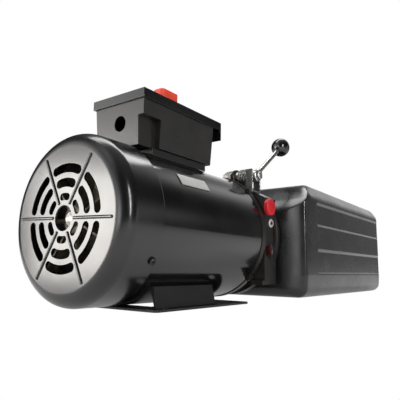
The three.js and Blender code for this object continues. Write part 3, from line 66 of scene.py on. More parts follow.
# ---------------------------------------------------------------------------
# Camera. It looks up from near the floor at the fan end, on the side of the ports.

cover_low, cover_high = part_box("fan_cover")
rib_height = 1.4 * MM
face_centre = Vector((cover_low.x + rib_height, 0, (cover_low.z + cover_high.z) / 2))

eye = face_centre + Vector((-266.4, -363.4, -47.6)) * MM
yaw, pitch, roll = 0.6395, 0.1548, 0.0142
forward = Vector((math.cos(yaw) * math.cos(pitch), math.sin(yaw) * math.cos(pitch), math.sin(pitch)))
level = Vector((math.sin(yaw), -math.cos(yaw), 0))
above = level.cross(forward)
right = level * math.cos(roll) + above * math.sin(roll)
up = above * math.cos(roll) - level * math.sin(roll)

camera_data = bpy.data.cameras.new("camera")
camera_data.sensor_width = 36
camera_data.lens = 40.14
camera_data.clip_start = 0.02
camera_data.clip_end = 50
camera = bpy.data.objects.new("camera", camera_data)
bpy.context.scene.collection.objects.link(camera)
camera.matrix_world = Matrix((
    (right.x, up.x, -forward.x, eye.x),
    (right.y, up.y, -forward.y, eye.y),
    (right.z, up.z, -forward.z, eye.z),
    (0, 0, 0, 1),
))
bpy.context.scene.camera = camera

# ---------------------------------------------------------------------------
# Studio. A white floor and a dark dome with soft patches of light, which the black enamel
# mirrors, and three softboxes for the long highlights. To the camera, floor and dome are white.


def linear(code):
    """The linear colour, with alpha, of an sRGB hex value."""
    channels = [int(code[i:i + 2], 16) / 255 for i in (1, 3, 5)]
    curve = [c / 12.92 if c <= 0.04045 else ((c + 0.055) / 1.055) ** 2.4 for c in channels]
    return (*curve, 1.0)


def add(tree, kind, inputs=None, stops=(), **settings):
    """One shader node with its settings. An input is a value, a socket, or a node that gives its
    first output; the stops of a colour ramp are (position, linear colour)."""
    node = tree.nodes.new("ShaderNode" + kind)
    for key, value in settings.items():
        setattr(node, key, value)
    for name, value in (inputs or {}).items():
        if isinstance(value, bpy.types.Node):
            value = value.outputs[0]
        if isinstance(value, bpy.types.NodeSocket):
            tree.links.new(value, node.inputs[name])
        else:
            node.inputs[name].default_value = value
    if stops:
        elements = node.color_ramp.elements
        while len(elements) < len(stops):
            elements.new(0.5)
        for element, (position, colour) in zip(elements, stops):
            element.position = position
            element.color = colour
    return node


def grey(level):
    """A linear grey, with alpha."""
    return (level, level, level, 1.0)


world = bpy.data.worlds.new("studio")
bpy.context.scene.world = world
world.use_nodes = True
sky = world.node_tree
sky.nodes.clear()
direction = add(sky, "TexCoord").outputs["Generated"]
# Patches of light on the dome: direction, how narrow, strength, and what mirrors each.
sky_patches = (
    ((0, 0, 1), 4, 0.4),  # everything that faces up
    ((-0.95, 0.28, 0.08), 14, 2.4),  # bevel and edges at the front of the tank
    ((-0.60, 0.72, 0.35), 30, 2.0),  # end wall of the box
    ((0.96, -0.28, 0.03), 26, 0.2),  # side of the tank
    ((0.94, -0.06, 0.33), 60, 1.3),  # upward edges of the tank's panels
    ((0.86, 0.44, 0.26), 24, 2.0),  # rims that turn away from the eye
    ((0.80, -0.07, 0.60), 80, 0.9),  # top of the shell and its nameplate
    ((0.71, -0.67, 0.21), 120, 0.6),  # skirt of the cover
    ((-0.64, 0.22, 0.74), 30, 1.0),  # upper edge of the cover
    ((0.55, -0.83, 0.08), 60, 1.2),  # upright front edge of the tank
    ((-0.66, 0.73, 0.14), 120, 5.0),  # near side of the cover's face
    ((-1.0, 0.07, 0.05), 60, 3.0),  # front of the tank, past the motor
)
ambient = 0.012
level_now = ambient
for axis, narrow, strength in sky_patches:
    facing = add(sky, "VectorMath", {0: direction, 1: axis}, operation="DOT_PRODUCT")
    kept = add(sky, "Math", {0: facing.outputs["Value"], 1: 0.0}, operation="MAXIMUM")
    lobe = add(sky, "Math", {0: kept, 1: narrow}, operation="POWER")
    scaled = add(sky, "Math", {0: lobe, 1: strength}, operation="MULTIPLY")
    level_now = add(sky, "Math", {0: scaled, 1: level_now}, operation="ADD")
dome = add(sky, "CombineColor", {"Red": level_now, "Green": level_now, "Blue": level_now})
seen = add(sky, "LightPath").outputs["Is Camera Ray"]
lit = add(sky, "Background", {"Color": dome, "Strength": 1.0})
shown = add(sky, "Background", {"Color": grey(1.0), "Strength": 1.0})
mixed = add(sky, "MixShader", {0: seen, 1: lit, 2: shown})
add(sky, "OutputWorld", {"Surface": mixed})

bpy.context.scene.view_settings.view_transform = "Standard"


def softbox(name, centre, target, width, tall, power):
    """A rectangular light facing a target."""
    data = bpy.data.lights.new(name, "AREA")
    data.shape = "RECTANGLE"
    data.size = width
    data.size_y = tall
    data.energy = power
    lamp = bpy.data.objects.new(name, data)
    bpy.context.scene.collection.objects.link(lamp)
    lamp.location = centre
    lamp.rotation_mode = "QUATERNION"
    lamp.rotation_quaternion = (Vector(centre) - Vector(target)).to_track_quat("Z", "Y")
    return data


middle = (cad_box[0] + cad_box[1]) / 2
# Mirrored in the face of the fan cover, as seen by the camera.
cover_light = softbox("cover_light", face_centre + Vector((-0.80, 0.82, 0.09)), face_centre, 0.50, 0.42, 8.5)
cover_light.color = (1.0, 0.965, 0.92)
# Long light overhead, for the shell, the box and the top of the tank.
softbox("overhead_light", (middle.x + 0.1, 0.25, 1.25), middle, 1.5, 0.32, 9)
# Narrow light from the front, for the streak on the skirt of the cover.
softbox("front_light", face_centre + Vector((-0.35, -1.15, 0.45)), face_centre, 0.04, 0.7, 7)

floor_mesh = bpy.data.meshes.new("floor")
floor_shape = bmesh.new()
bmesh.ops.create_grid(floor_shape, x_segments=1, y_segments=1, size=6)
floor_shape.to_mesh(floor_mesh)
floor_shape.free()
floor = bpy.data.objects.new("floor", floor_mesh)
bpy.context.scene.collection.objects.link(floor)
floor.location.z = cad_box[0].z - 0.2 * MM

paper = bpy.data.materials.new("lit_white_paper_floor")
paper.use_nodes = True
tree = paper.node_tree
tree.nodes.clear()
place = add(tree, "TexCoord").outputs["Object"]
grain = add(tree, "TexNoise", {"Vector": place, "Scale": 400.0, "Detail": 2.0})
shade = add(tree, "ValToRGB", {"Fac": grain}, stops=[(0.3, linear("#ececec")), (0.7, linear("#f6f6f6"))])
glow = {"Base Color": shade, "Roughness": 0.9, "Emission Color": grey(1.0), "Emission Strength": 0.42}
coat = add(tree, "BsdfPrincipled", glow)
plain = add(tree, "Emission", {"Color": grey(1.0), "Strength": 1.0})
direct = add(tree, "LightPath").outputs["Is Camera Ray"]
shown = add(tree, "MixShader", {0: direct, 1: coat, 2: plain})
add(tree, "OutputMaterial", {"Surface": shown})
floor_mesh.materials.append(paper)

# ---------------------------------------------------------------------------
# Fan cover. A cowl deep-drawn from sheet steel: a flat face with three rings of
# punched slots and six pressed beads, a wide rolled edge and a plain skirt, all
# in gloss black baked enamel.


def new_material(name):
    """An empty material and its node tree."""
    material = bpy.data.materials.new(name)
    material.use_nodes = True
    material.node_tree.nodes.clear()
    return material, material.node_tree


def baked_black_enamel(name, rough_low, rough_high):
    """Sprayed and baked enamel: near-black and glossy, with the slow ripple called orange
    peel, a little dust that dulls the gloss in patches and specks of pale lint."""
    material, tree = new_material(name)
    place = add(tree, "TexCoord").outputs["Object"]
    smudge = add(tree, "TexNoise", {
        "Vector": place, "Scale": 1 / (55 * MM), "Detail": 4.0, "Roughness": 0.6,
    })
    dust = add(tree, "TexNoise", {"Vector": place, "Scale": 1 / (1.1 * MM), "Detail": 2.0})
    colour = add(tree, "ValToRGB", {"Fac": smudge},
                 stops=[(0.35, linear("#0c0c0d")), (0.7, linear("#161617"))])
    specks = add(tree, "ValToRGB", {"Fac": dust}, stops=[(0.76, grey(0)), (0.8, grey(1))])
    dusty = add(tree, "Mix", {"Factor": specks, "A": colour, "B": linear("#3a3937")}, data_type="RGBA")
    roughness = add(tree, "MapRange", {
        "Value": smudge, "From Min": 0.3, "From Max": 0.7, "To Min": rough_low, "To Max": rough_high,
    })
    relief = add(tree, "TexNoise", {"Vector": place, "Scale": 1 / (3.2 * MM), "Detail": 1.0})
    peel = add(tree, "Bump", {"Height": relief, "Distance": 0.006 * MM})
    slow_relief = add(tree, "TexNoise", {"Vector": place, "Scale": 1 / (26 * MM), "Detail": 1.0})
    ripple = add(tree, "Bump", {"Height": slow_relief, "Distance": 0.05 * MM, "Normal": peel})
    shader = add(tree, "BsdfPrincipled", {
        "Base Color": dusty.outputs["Result"], "Roughness": roughness, "Normal": ripple, "IOR": 1.52,
    })
    add(tree, "OutputMaterial", {"Surface": shader})
    return material


cover_enamel = baked_black_enamel("baked_black_enamel_on_drawn_cover", 0.16, 0.25)


def to_object(name, shape, material, body, nodes, edge_mm=0.0, angle=32, steps=3):
    """Turns a bmesh into a piece that stands for CAD nodes: smooth, with rounded edges."""
    bmesh.ops.recalc_face_normals(shape, faces=shape.faces)
    mesh = bpy.data.meshes.new(name)
    shape.to_mesh(mesh)
    shape.free()
    mesh.materials.clear()
    mesh.materials.append(material)
    mesh.shade_smooth()
    mesh.set_sharp_from_angle(angle=math.radians(angle))
    piece = bpy.data.objects.new(name, mesh)
    bpy.context.scene.collection.objects.link(piece)
    if edge_mm:
        rounding = piece.modifiers.new("edges", "BEVEL")
        rounding.width = edge_mm * MM
        rounding.segments = steps
        rounding.limit_method = "ANGLE"
        rounding.angle_limit = math.radians(angle)
        rounding.miter_outer = "MITER_ARC"
    weighting = piece.modifiers.new("normals", "WEIGHTED_NORMAL")
    weighting.keep_sharp = True
    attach(piece, body)
    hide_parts(*nodes)


def turned(outline, centre, axis, segments=128):
    """A bmesh turned about an axis through centre. The outline lists (along, radius) in
    millimetres; along is measured from centre. It closes on itself, or starts and ends at radius 0."""
    shape = bmesh.new()
    frame_of = {"X": ((1, 0, 0), (0, 1, 0), (0, 0, 1)), "Y": ((0, 1, 0), (0, 0, 1), (1, 0, 0)),
                "Z": ((0, 0, 1), (1, 0, 0), (0, 1, 0))}[axis]
    along, first, second = [Vector(v) for v in frame_of]
    rings = []
    for distance, radius in outline:
        point = Vector(centre) + along * distance * MM
        if radius < 1e-6:
            rings.append([shape.verts.new(point)] * segments)
            continue
        ring = []
        for k in range(segments):
            turn = 2 * math.pi * k / segments
            outward = first * math.cos(turn) + second * math.sin(turn)
            ring.append(shape.verts.new(point + outward * radius * MM))
        rings.append(ring)
    pairs = list(zip(rings, rings[1:]))
    if outline[0][1] > 1e-6:
        pairs.append((rings[-1], rings[0]))
    for ring_a, ring_b in pairs:
        for k in range(segments):
            n = (k + 1) % segments
            corners = [ring_a[k], ring_a[n], ring_b[n], ring_b[k]]
            unique = list(dict.fromkeys(corners))
            if len(unique) > 2:
                shape.faces.new(unique)
    return shape


def fillet(centre_along, centre_radius, size, start, end, steps=8):
    """Points of a round corner in an outline; angles in degrees from along towards radius."""
    points = []
    for k in range(steps + 1):
        turn = math.radians(start + (end - start) * k / steps)
        points.append((centre_along + size * math.cos(turn), centre_radius + size * math.sin(turn)))
    return points


def prism(outline, axis, low, high):
    """A bmesh extruded along an axis between two places in metres. The outline lists the other
    two coordinates, in metres, in X, Y, Z order."""
    shape = bmesh.new()

    def corner(point, depth):
        if axis == "X":
            return (depth, point[0], point[1])
        if axis == "Y":
            return (point[0], depth, point[1])
        return (point[0], point[1], depth)

    bottom = [shape.verts.new(corner(p, low)) for p in outline]
    top = [shape.verts.new(corner(p, high)) for p in outline]
    shape.faces.new(bottom)
    shape.faces.new(top)
    count = len(outline)
    for k in range(count):
        n = (k + 1) % count
        shape.faces.new((bottom[k], bottom[n], top[n], top[k]))
    bmesh.ops.recalc_face_normals(shape, faces=shape.faces)
    return shape


def carve(shape, tools, operation="DIFFERENCE"):
    """Cuts, joins or crosses a bmesh with others, and returns the result as a bmesh."""
    def temporary(source, name):
        bmesh.ops.recalc_face_normals(source, faces=source.faces)
        mesh = bpy.data.meshes.new(name)
        source.to_mesh(mesh)
        source.free()
        made = bpy.data.objects.new(name, mesh)
        bpy.context.scene.collection.objects.link(made)
        return made

    base = temporary(shape, "work")
    others = [temporary(tool, "tool") for tool in tools]
    for other in others:
        step = base.modifiers.new("step", "BOOLEAN")
        step.operation = operation
        step.solver = "MANIFOLD"
        step.object = other
    evaluated = base.evaluated_get(bpy.context.evaluated_depsgraph_get())
    result = bmesh.new()
    result.from_mesh(evaluated.to_mesh())
    evaluated.to_mesh_clear()
    for made in [base, *others]:
        mesh = made.data
        bpy.data.objects.remove(made)
        bpy.data.meshes.remove(mesh)
    bmesh.ops.remove_doubles(result, verts=result.verts, dist=1e-6)
    return result


def merged(shapes):
    """Several bmeshes as one mesh, each keeping its own closed surface."""
    result = shapes[0]
    for other in shapes[1:]:
        mesh = bpy.data.meshes.new("part")
        other.to_mesh(mesh)
        other.free()
        result.from_mesh(mesh)
        bpy.data.meshes.remove(mesh)
    return result


cover_radius = (cover_high.y - cover_low.y) / 2 / MM
cover_depth = (cover_high.x - face_centre.x) / MM
cover_wall = 1.8
cover_edge = 15
cover_hole = 12.2
slot_rings = ((17.5, 24.8), (30.8, 39.8), (45.2, 54.3))
rib_turn = 2
rib_from, rib_to, rib_half = 15, 70.5, 1.7

inner_edge = cover_edge - cover_wall
cover_outline = [
    (0, cover_hole + 0.6), *fillet(cover_edge, cover_radius - cover_edge, cover_edge, 180, 90, 14),
    *fillet(cover_depth - 1.5, cover_radius - 1.5, 1.5, 90, 0, 6),
    (cover_depth, cover_radius - cover_wall),
    *fillet(cover_edge, cover_radius - cover_edge, inner_edge, 90, 180, 10),
    (cover_wall, cover_hole), (0.6, cover_hole),
]


def slot_tool(inner, outer, turn):
    """A round-ended slot that follows a ring, ready to be cut through the cover's face."""
    mid, end = (inner + outer) / 2, (outer - inner) / 2
    half = math.radians(30) - (3.5 + end) / mid
    points = []

    def mark(radius, angle, shift=0.0, way=0.0):
        y = radius * math.cos(angle) + shift * math.cos(way)
        z = radius * math.sin(angle) + shift * math.sin(way)
        points.append((face_centre.y + y * MM, face_centre.z + z * MM))

    for k in range(13):
        mark(outer, turn - half + 2 * half * k / 12)
    for k in range(1, 8):
        mark(mid, turn + half, end, turn + half + math.pi * k / 8)
    for k in range(13):
        mark(inner, turn + half - 2 * half * k / 12)
    for k in range(1, 8):
        mark(mid, turn - half, end, turn - half + math.pi + math.pi * k / 8)
    return prism(points, "X", face_centre.x - 3 * MM, face_centre.x + 5 * MM)


slot_tools = []
for ring_inner, ring_outer in slot_rings:
    for i in range(6):
        slot_tools.append(slot_tool(ring_inner, ring_outer, math.radians(60 * i + 30 + rib_turn)))
cover = carve(turned(cover_outline, face_centre, "X", 160), [merged(slot_tools)])


def bead(start, end, half_width, proud):
    """A pressed bead with round ends, lying on the face along +Y."""
    shape = bmesh.new()
    bmesh.ops.create_uvsphere(shape, u_segments=20, v_segments=12, radius=1.0)
    for vert in shape.verts:
        spot = vert.co
        y = start + half_width if spot.x < -1e-6 else end - half_width
        if abs(spot.x) <= 1e-6:
            y = (start + end) / 2
        vert.co = Vector((-spot.z * proud, y + spot.x * half_width, spot.y * half_width)) * MM
    return shape


beads = []
for i in range(6):
    one = bead(rib_from, rib_to, rib_half, rib_height / MM)
    turn = Matrix.Rotation(math.radians(60 * i + rib_turn), 4, "X")
    bmesh.ops.transform(one, matrix=Matrix.Translation(face_centre) @ turn, verts=one.verts)
    beads.append(one)
to_object("fan_cover_shell", merged([cover, *beads]), cover_enamel, "frame", ["fan_cover"],
          edge_mm=0.45, steps=2)

# ---------------------------------------------------------------------------
# Cover and lid screws. Steel pan heads with a cross recess: black oxide on the cover's three,
# zinc plate on the lid's two.


def bright_zinc_plate():
    """Electroplated zinc, lightly passivated: a soft metal shine whose blue-grey drifts
    towards straw in patches, with fine cloudy grain from the bath."""
    material, tree = new_material("bright_zinc_plate")
    place = add(tree, "TexCoord").outputs["Object"]
    cloud = add(tree, "TexNoise", {
        "Vector": place, "Scale": 1 / (9 * MM), "Detail": 4.0, "Roughness": 0.65,
    })
    grain = add(tree, "TexNoise", {"Vector": place, "Scale": 1 / (0.7 * MM), "Detail": 2.0})
    colour = add(tree, "ValToRGB", {"Fac": cloud},
                 stops=[(0.3, linear("#a9a7a0")), (0.5, linear("#c4c4c2")), (0.75, linear("#b4b8bd"))])
    roughness = add(tree, "MapRange", {
        "Value": cloud, "From Min": 0.3, "From Max": 0.7, "To Min": 0.24, "To Max": 0.4,
    })
    bump = add(tree, "Bump", {"Height": grain, "Distance": 0.012 * MM})
    shader = add(tree, "BsdfPrincipled", {
        "Base Color": colour, "Metallic": 1.0, "Roughness": roughness, "Normal": bump,
    })
    add(tree, "OutputMaterial", {"Surface": shader})
    return material


def black_oxide_steel():
    """Hot black oxide: thin, slightly brown and half glossy, with grey showing through on wear."""
    material, tree = new_material("black_oxide_steel")
    place = add(tree, "TexCoord").outputs["Object"]
    wear = add(tree, "TexNoise", {"Vector": place, "Scale": 1 / (4 * MM), "Detail": 4.0, "Roughness": 0.65})
    colour = add(tree, "ValToRGB", {"Fac": wear},
                 stops=[(0.4, linear("#2a2522")), (0.75, linear("#4a4642"))])
    relief = add(tree, "TexNoise", {"Vector": place, "Scale": 1 / (0.6 * MM), "Detail": 2.0})
    bump = add(tree, "Bump", {"Height": relief, "Distance": 0.012 * MM})
    roughness = add(tree, "MapRange", {
        "Value": wear, "From Min": 0.3, "From Max": 0.7, "To Min": 0.28, "To Max": 0.42,
    })
    shader = add(tree, "BsdfPrincipled", {
        "Base Color": colour, "Metallic": 0.8, "Roughness": roughness, "Normal": bump,
    })
    add(tree, "OutputMaterial", {"Surface": shader})
    return material


zinc_plate = bright_zinc_plate()
oxide = black_oxide_steel()


def pan_head(base, outward, radius, tall):
    """A domed head with a cross recess, standing on base and facing outward."""
    outline = [(0, 0), (0, radius), (tall * 0.45, radius),
               *fillet(tall * 0.45, radius - tall * 0.55, tall * 0.55, 90, 0, 4), (tall, 0)]
    head = turned(outline, (0, 0, 0), "Z", 32)
    bars = []
    for long, wide in ((radius * 0.55, 0.45), (0.45, radius * 0.55)):
        points = [(u * long * MM, v * wide * MM) for u, v in ((-1, -1), (1, -1), (1, 1), (-1, 1))]
        bars.append(prism(points, "Z", tall * 0.4 * MM, (tall + 1) * MM))
    head = carve(head, bars)
    turn = Vector(outward).to_track_quat("Z", "Y").to_matrix().to_4x4()
    bmesh.ops.transform(head, matrix=Matrix.Translation(base) @ turn, verts=head.verts)
    return head


head_radius, head_tall = 4, 2.3
first_screw = 207.6  # degrees about the shaft
for i in range(3):
    low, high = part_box(f"fan_cover_screw_{i + 1}")
    angle = math.radians(first_screw + 120 * i)
    outward = Vector((0, math.cos(angle), math.sin(angle)))
    base = Vector(((low.x + high.x) / 2, 0, face_centre.z)) + outward * (cover_radius + 0.3) * MM
    head = pan_head(base, outward, head_radius, head_tall)
    to_object(f"fan_cover_screw_head_{i + 1}", head, oxide, "frame",
              [f"fan_cover_screw_{i + 1}"])
for i in range(2):
    low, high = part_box(f"lid_screw_{i + 1}")
    base = Vector(((low.x + high.x) / 2, (low.y + high.y) / 2, high.z - head_tall * MM))
    head = pan_head(base, (0, 0, 1), head_radius, head_tall)
    to_object(f"lid_screw_head_{i + 1}", head, zinc_plate, "frame", [f"lid_screw_{i + 1}"])

# ---------------------------------------------------------------------------
# Cooling fan and shaft. The fan is moulded in nylon and pressed on the ground steel shaft,
# which runs through the motor to the pump.


def from_cad(node):
    """A bmesh copy of a CAD node, with its triangles merged back into flat faces."""
    source = frame["nodes"][node]
    shape = bmesh.new()
    shape.from_mesh(source.data)
    bmesh.ops.transform(shape, matrix=source.matrix_world, verts=shape.verts)
    bmesh.ops.remove_doubles(shape, verts=shape.verts, dist=1e-5)
    bmesh.ops.dissolve_limit(shape, angle_limit=math.radians(0.6), verts=shape.verts, edges=shape.edges)
    for face in shape.faces:
        face.material_index = 0
    return shape


def paint(material, *nodes):
    """Gives CAD nodes that are shown as they are their material."""
    for node in nodes:
        for place in frame["nodes"][node].material_slots:
            place.material = material


def fan_nylon_with_painted_shade():
    """Moulded ivory nylon, satin, with darker dust held in patches; its whole colour is darkened to brown as
    painted shade, for the fan that sits in the shade of the cover.
    """
    material, tree = new_material("fan_nylon_with_painted_shade")
    place = add(tree, "TexCoord").outputs["Object"]
    dust = add(tree, "TexNoise", {"Vector": place, "Scale": 1 / (14 * MM), "Detail": 4.0, "Roughness": 0.6})
    # Painted shade: both colours are dark browns standing in for the shade inside the fan cover; the spread
    # between them is dust.
    colour = add(tree, "ValToRGB", {"Fac": dust},
                 stops=[(0.35, linear("#6e6350")), (0.65, linear("#463f34"))])
    relief = add(tree, "TexNoise", {"Vector": place, "Scale": 1 / (0.9 * MM), "Detail": 2.0})
    bump = add(tree, "Bump", {"Height": relief, "Distance": 0.02 * MM})
    roughness = add(tree, "MapRange", {
        "Value": dust, "From Min": 0.3, "From Max": 0.7, "To Min": 0.42, "To Max": 0.7,
    })
    shader = add(tree, "BsdfPrincipled", {"Base Color": colour, "Roughness": roughness, "Normal": bump})
    add(tree, "OutputMaterial", {"Surface": shader})
    return material


def turned_steel():
    """Turned and ground steel: fine rings about the shaft, clean metal with a faint oil film."""
    material, tree = new_material("turned_and_ground_steel")
    place = add(tree, "TexCoord").outputs["Object"]
    film = add(tree, "TexNoise", {"Vector": place, "Scale": 1 / (12 * MM), "Detail": 3.0})
    stretched = add(tree, "Mapping", {"Vector": place, "Scale": (1, 0.05, 0.05)})
    rings = add(tree, "TexNoise", {"Vector": stretched, "Scale": 1 / (0.6 * MM), "Detail": 2.0})
    colour = add(tree, "ValToRGB", {"Fac": film},
                 stops=[(0.3, linear("#a8a29b")), (0.7, linear("#c3beb8"))])
    bump = add(tree, "Bump", {"Height": rings, "Distance": 0.01 * MM})
    roughness = add(tree, "MapRange", {
        "Value": film, "From Min": 0.3, "From Max": 0.7, "To Min": 0.18, "To Max": 0.32,
    })
    shader = add(tree, "BsdfPrincipled", {
        "Base Color": colour, "Metallic": 1.0, "Roughness": roughness, "Normal": bump,
    })
    add(tree, "OutputMaterial", {"Surface": shader})
    return material


fan_nylon_painted_shade = fan_nylon_with_painted_shade()
ground_steel = turned_steel()
to_object("fan_moulding", from_cad("cooling_fan"), fan_nylon_painted_shade, "rotor", ["cooling_fan"],
          edge_mm=0.5)
shaft_low, shaft_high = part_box("motor_shaft")
shaft_long = (shaft_high.x - shaft_low.x) / MM
shaft_start = Vector((shaft_low.x, face_centre.y, face_centre.z))
to_object("shaft_bar", turned([(0, 0), (0, 2.2), (1.5, 3), (0, 6.8), (1.2, 8), (shaft_long - 1.2, 8),
                               (shaft_long, 6.8), (shaft_long, 0)], shaft_start, "X", 48),
          ground_steel, "rotor", ["motor_shaft"], edge_mm=0.2)

# ---------------------------------------------------------------------------
# Motor shell. A rolled steel tube in the same baked enamel as the cover, clamped
# between the end bells; the pump-end bell shows as a ring with four cast lugs.


def painted_casting():
    """Black paint over a sand casting: a satin skin that follows grains about a millimetre
    wide, duller in patches, with brownish oil dust that settles in the hollows."""
    material, tree = new_material("black_painted_casting")
    place = add(tree, "TexCoord").outputs["Object"]
    dust = add(tree, "TexNoise", {"Vector": place, "Scale": 1 / (22 * MM), "Detail": 4.0, "Roughness": 0.6})
    sand = add(tree, "TexNoise", {
        "Vector": place, "Scale": 1 / (1.3 * MM), "Detail": 2.0, "Roughness": 0.6,
    })
    colour = add(tree, "ValToRGB", {"Fac": dust},
                 stops=[(0.35, linear("#141312")), (0.7, linear("#262321"))])
    slow_relief = add(tree, "TexNoise", {"Vector": place, "Scale": 1 / (9 * MM), "Detail": 2.0})
    slow_bump = add(tree, "Bump", {"Height": slow_relief, "Distance": 0.12 * MM})
    bump = add(tree, "Bump", {"Height": sand, "Distance": 0.05 * MM, "Normal": slow_bump})
    roughness = add(tree, "MapRange", {
        "Value": dust, "From Min": 0.3, "From Max": 0.7, "To Min": 0.3, "To Max": 0.46,
    })
    shader = add(tree, "BsdfPrincipled", {"Base Color": colour, "Roughness": roughness, "Normal": bump})
    add(tree, "OutputMaterial", {"Surface": shader})
    return material


def solid(outline, axis, low, high, origin):
    """A prism whose outline and ends are given in millimetres from an origin in metres."""
    first, second, along = {"X": (1, 2, 0), "Y": (0, 2, 1), "Z": (0, 1, 2)}[axis]
    points = [(origin[first] + u * MM, origin[second] + v * MM) for u, v in outline]
    return prism(points, axis, origin[along] + low * MM, origin[along] + high * MM)


def slab(x0, x1, y0, y1, z0, z1, origin):
    """A plain block, in millimetres from an origin in metres."""
    return solid([(y0, z0), (y1, z0), (y1, z1), (y0, z1)], "X", x0, x1, origin)


casting = painted_casting()
black_enamel = baked_black_enamel("baked_black_enamel_on_rolled_tube", 0.09, 0.16)
shell_low, shell_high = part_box("motor_shell")
shell_radius = (shell_high.y - shell_low.y) / 2 / MM
shell_long = (shell_high.x - shell_low.x) / MM
shell_start = Vector((shell_low.x, face_centre.y, face_centre.z))
shell = turned([(0, shell_radius - 3), (0, shell_radius - 0.5), (0.5, shell_radius),
                (shell_long - 0.5, shell_radius), (shell_long, shell_radius - 0.5),
                (shell_long, shell_radius - 3)], shell_start, "X", 160)
to_object("motor_tube", shell, black_enamel, "frame", ["motor_shell"])

bell_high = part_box("pump_end_bell")[1]
bell_start = Vector((bell_high.x - 9 * MM, face_centre.y, face_centre.z))
bell_rim = shell_radius + 0.9
bell = turned([(-6.3, 74), (-6.3, 80), (0, 80), (0, bell_rim), (9, bell_rim), (9, 11), (0, 11), (0, 72)],
              bell_start, "X", 160)
lugs = []
for degrees in (43, -43, 137, -137):
    spot = Vector((0, math.cos(math.radians(degrees)), math.sin(math.radians(degrees))))
    spot *= (bell_rim - 1.5) * MM
    lugs.append(turned([(0, 0), (0, 4.5), (8, 4.5), (8, 0)], bell_start + spot, "X", 24))
to_object("pump_end_casting", carve(bell, lugs, "UNION"), casting, "frame", ["pump_end_bell"],
          edge_mm=0.8)


def rolled_nameplate():
    """Rolled aluminium left blank: fine lengthwise drawing lines under a thin clear lacquer."""
    material, tree = new_material("blank_rolled_aluminium_plate")
    place = add(tree, "TexCoord").outputs["Object"]
    stretched = add(tree, "Mapping", {"Vector": place, "Scale": (0.03, 1, 1)})
    lines = add(tree, "TexNoise", {"Vector": stretched, "Scale": 1 / (0.35 * MM), "Detail": 2.0})
    stain = add(tree, "TexNoise", {"Vector": place, "Scale": 1 / (15 * MM), "Detail": 3.0})
    colour = add(tree, "ValToRGB", {"Fac": stain},
                 stops=[(0.35, linear("#c9c9c6")), (0.7, linear("#dcdcda"))])
    bump = add(tree, "Bump", {"Height": lines, "Distance": 0.008 * MM})
    roughness = add(tree, "MapRange", {
        "Value": stain, "From Min": 0.3, "From Max": 0.7, "To Min": 0.28, "To Max": 0.4,
    })
    shader = add(tree, "BsdfPrincipled", {
        "Base Color": colour, "Metallic": 1.0, "Roughness": roughness, "Normal": bump,
    })
    add(tree, "OutputMaterial", {"Surface": shader})
    return material


plate_metal = rolled_nameplate()
to_object("blank_nameplate", from_cad("nameplate"), plate_metal, "frame", ["nameplate"],
          edge_mm=0.15)

# ---------------------------------------------------------------------------
# Motor base, box saddle and box body. Pressed steel sheet in satin powder coat. The box
# stands on its saddle on the shell, with a notch at the lower front corner.


def satin_powder_coat(name, dark, light, rough_low, rough_high):
    """Powder coat: a satin skin with a fine pebble about 0.7 mm wide, rubbed duller in places."""
    material, tree = new_material(name)
    place = add(tree, "TexCoord").outputs["Object"]
    rub = add(tree, "TexNoise", {"Vector": place, "Scale": 1 / (30 * MM), "Detail": 4.0, "Roughness": 0.6})
    pebble = add(tree, "TexNoise", {"Vector": place, "Scale": 1 / (0.8 * MM), "Detail": 1.0})
    colour = add(tree, "ValToRGB", {"Fac": rub}, stops=[(0.35, linear(dark)), (0.7, linear(light))])
    roughness = add(tree, "MapRange", {
        "Value": rub, "From Min": 0.3, "From Max": 0.7, "To Min": rough_low, "To Max": rough_high,
    })
    slow_relief = add(tree, "TexNoise", {"Vector": place, "Scale": 1 / (40 * MM), "Detail": 1.0})
    slow_bump = add(tree, "Bump", {"Height": slow_relief, "Distance": 0.1 * MM})
    bump = add(tree, "Bump", {"Height": pebble, "Distance": 0.018 * MM, "Normal": slow_bump})
    shader = add(tree, "BsdfPrincipled", {"Base Color": colour, "Roughness": roughness, "Normal": bump})
    add(tree, "OutputMaterial", {"Surface": shader})
    return material


# Painted shade: the base's coat is a darker copy of the box's, standing in for the shade under the motor on
# the base and the box saddle.
base_coat_painted_shade = satin_powder_coat("black_powder_coated_base_painted_shade", "#0b0b0b", "#141413", 0.34, 0.48)
box_coat = satin_powder_coat("black_powder_coated_box", "#171615", "#23211f", 0.26, 0.40)
to_object("pressed_base", from_cad("motor_base"), base_coat_painted_shade, "frame", ["motor_base"],
          edge_mm=0.7)
to_object("box_saddle_block", from_cad("box_saddle"), base_coat_painted_shade, "frame", ["box_saddle"],
          edge_mm=0.8)
to_object("folded_box", from_cad("box_body"), box_coat, "frame", ["box_body"],
          edge_mm=0.55)
to_object("box_cover", from_cad("box_lid"), black_enamel, "frame", ["box_lid"], edge_mm=0.8)

# ---------------------------------------------------------------------------
# Push button. A soft rubber boot, orange-red, over the switch plunger; it slides down
# through the lid against its spring.


def rounded(corners, steps=6):
    """A polygon with its corners drawn as arcs; each corner is (u, v, radius)."""
    points = []
    for i, (u, v, radius) in enumerate(corners):
        here = Vector((u, v))
        if radius < 1e-9:
            points.append((u, v))
            continue
        before = (Vector(corners[i - 1][:2]) - here).normalized()
        after = (Vector(corners[(i + 1) % len(corners)][:2]) - here).normalized()
        half = before.angle(after) / 2
        centre = here + (before + after).normalized() * radius / math.sin(half)
        begin = here + before * radius / math.tan(half) - centre
        finish = here + after * radius / math.tan(half) - centre
        first = math.atan2(begin.y, begin.x)
        sweep = (math.atan2(finish.y, finish.x) - first + math.pi) % (2 * math.pi) - math.pi
        for k in range(steps + 1):
            turn = first + sweep * k / steps
            points.append((centre.x + radius * math.cos(turn), centre.y + radius * math.sin(turn)))
    return points


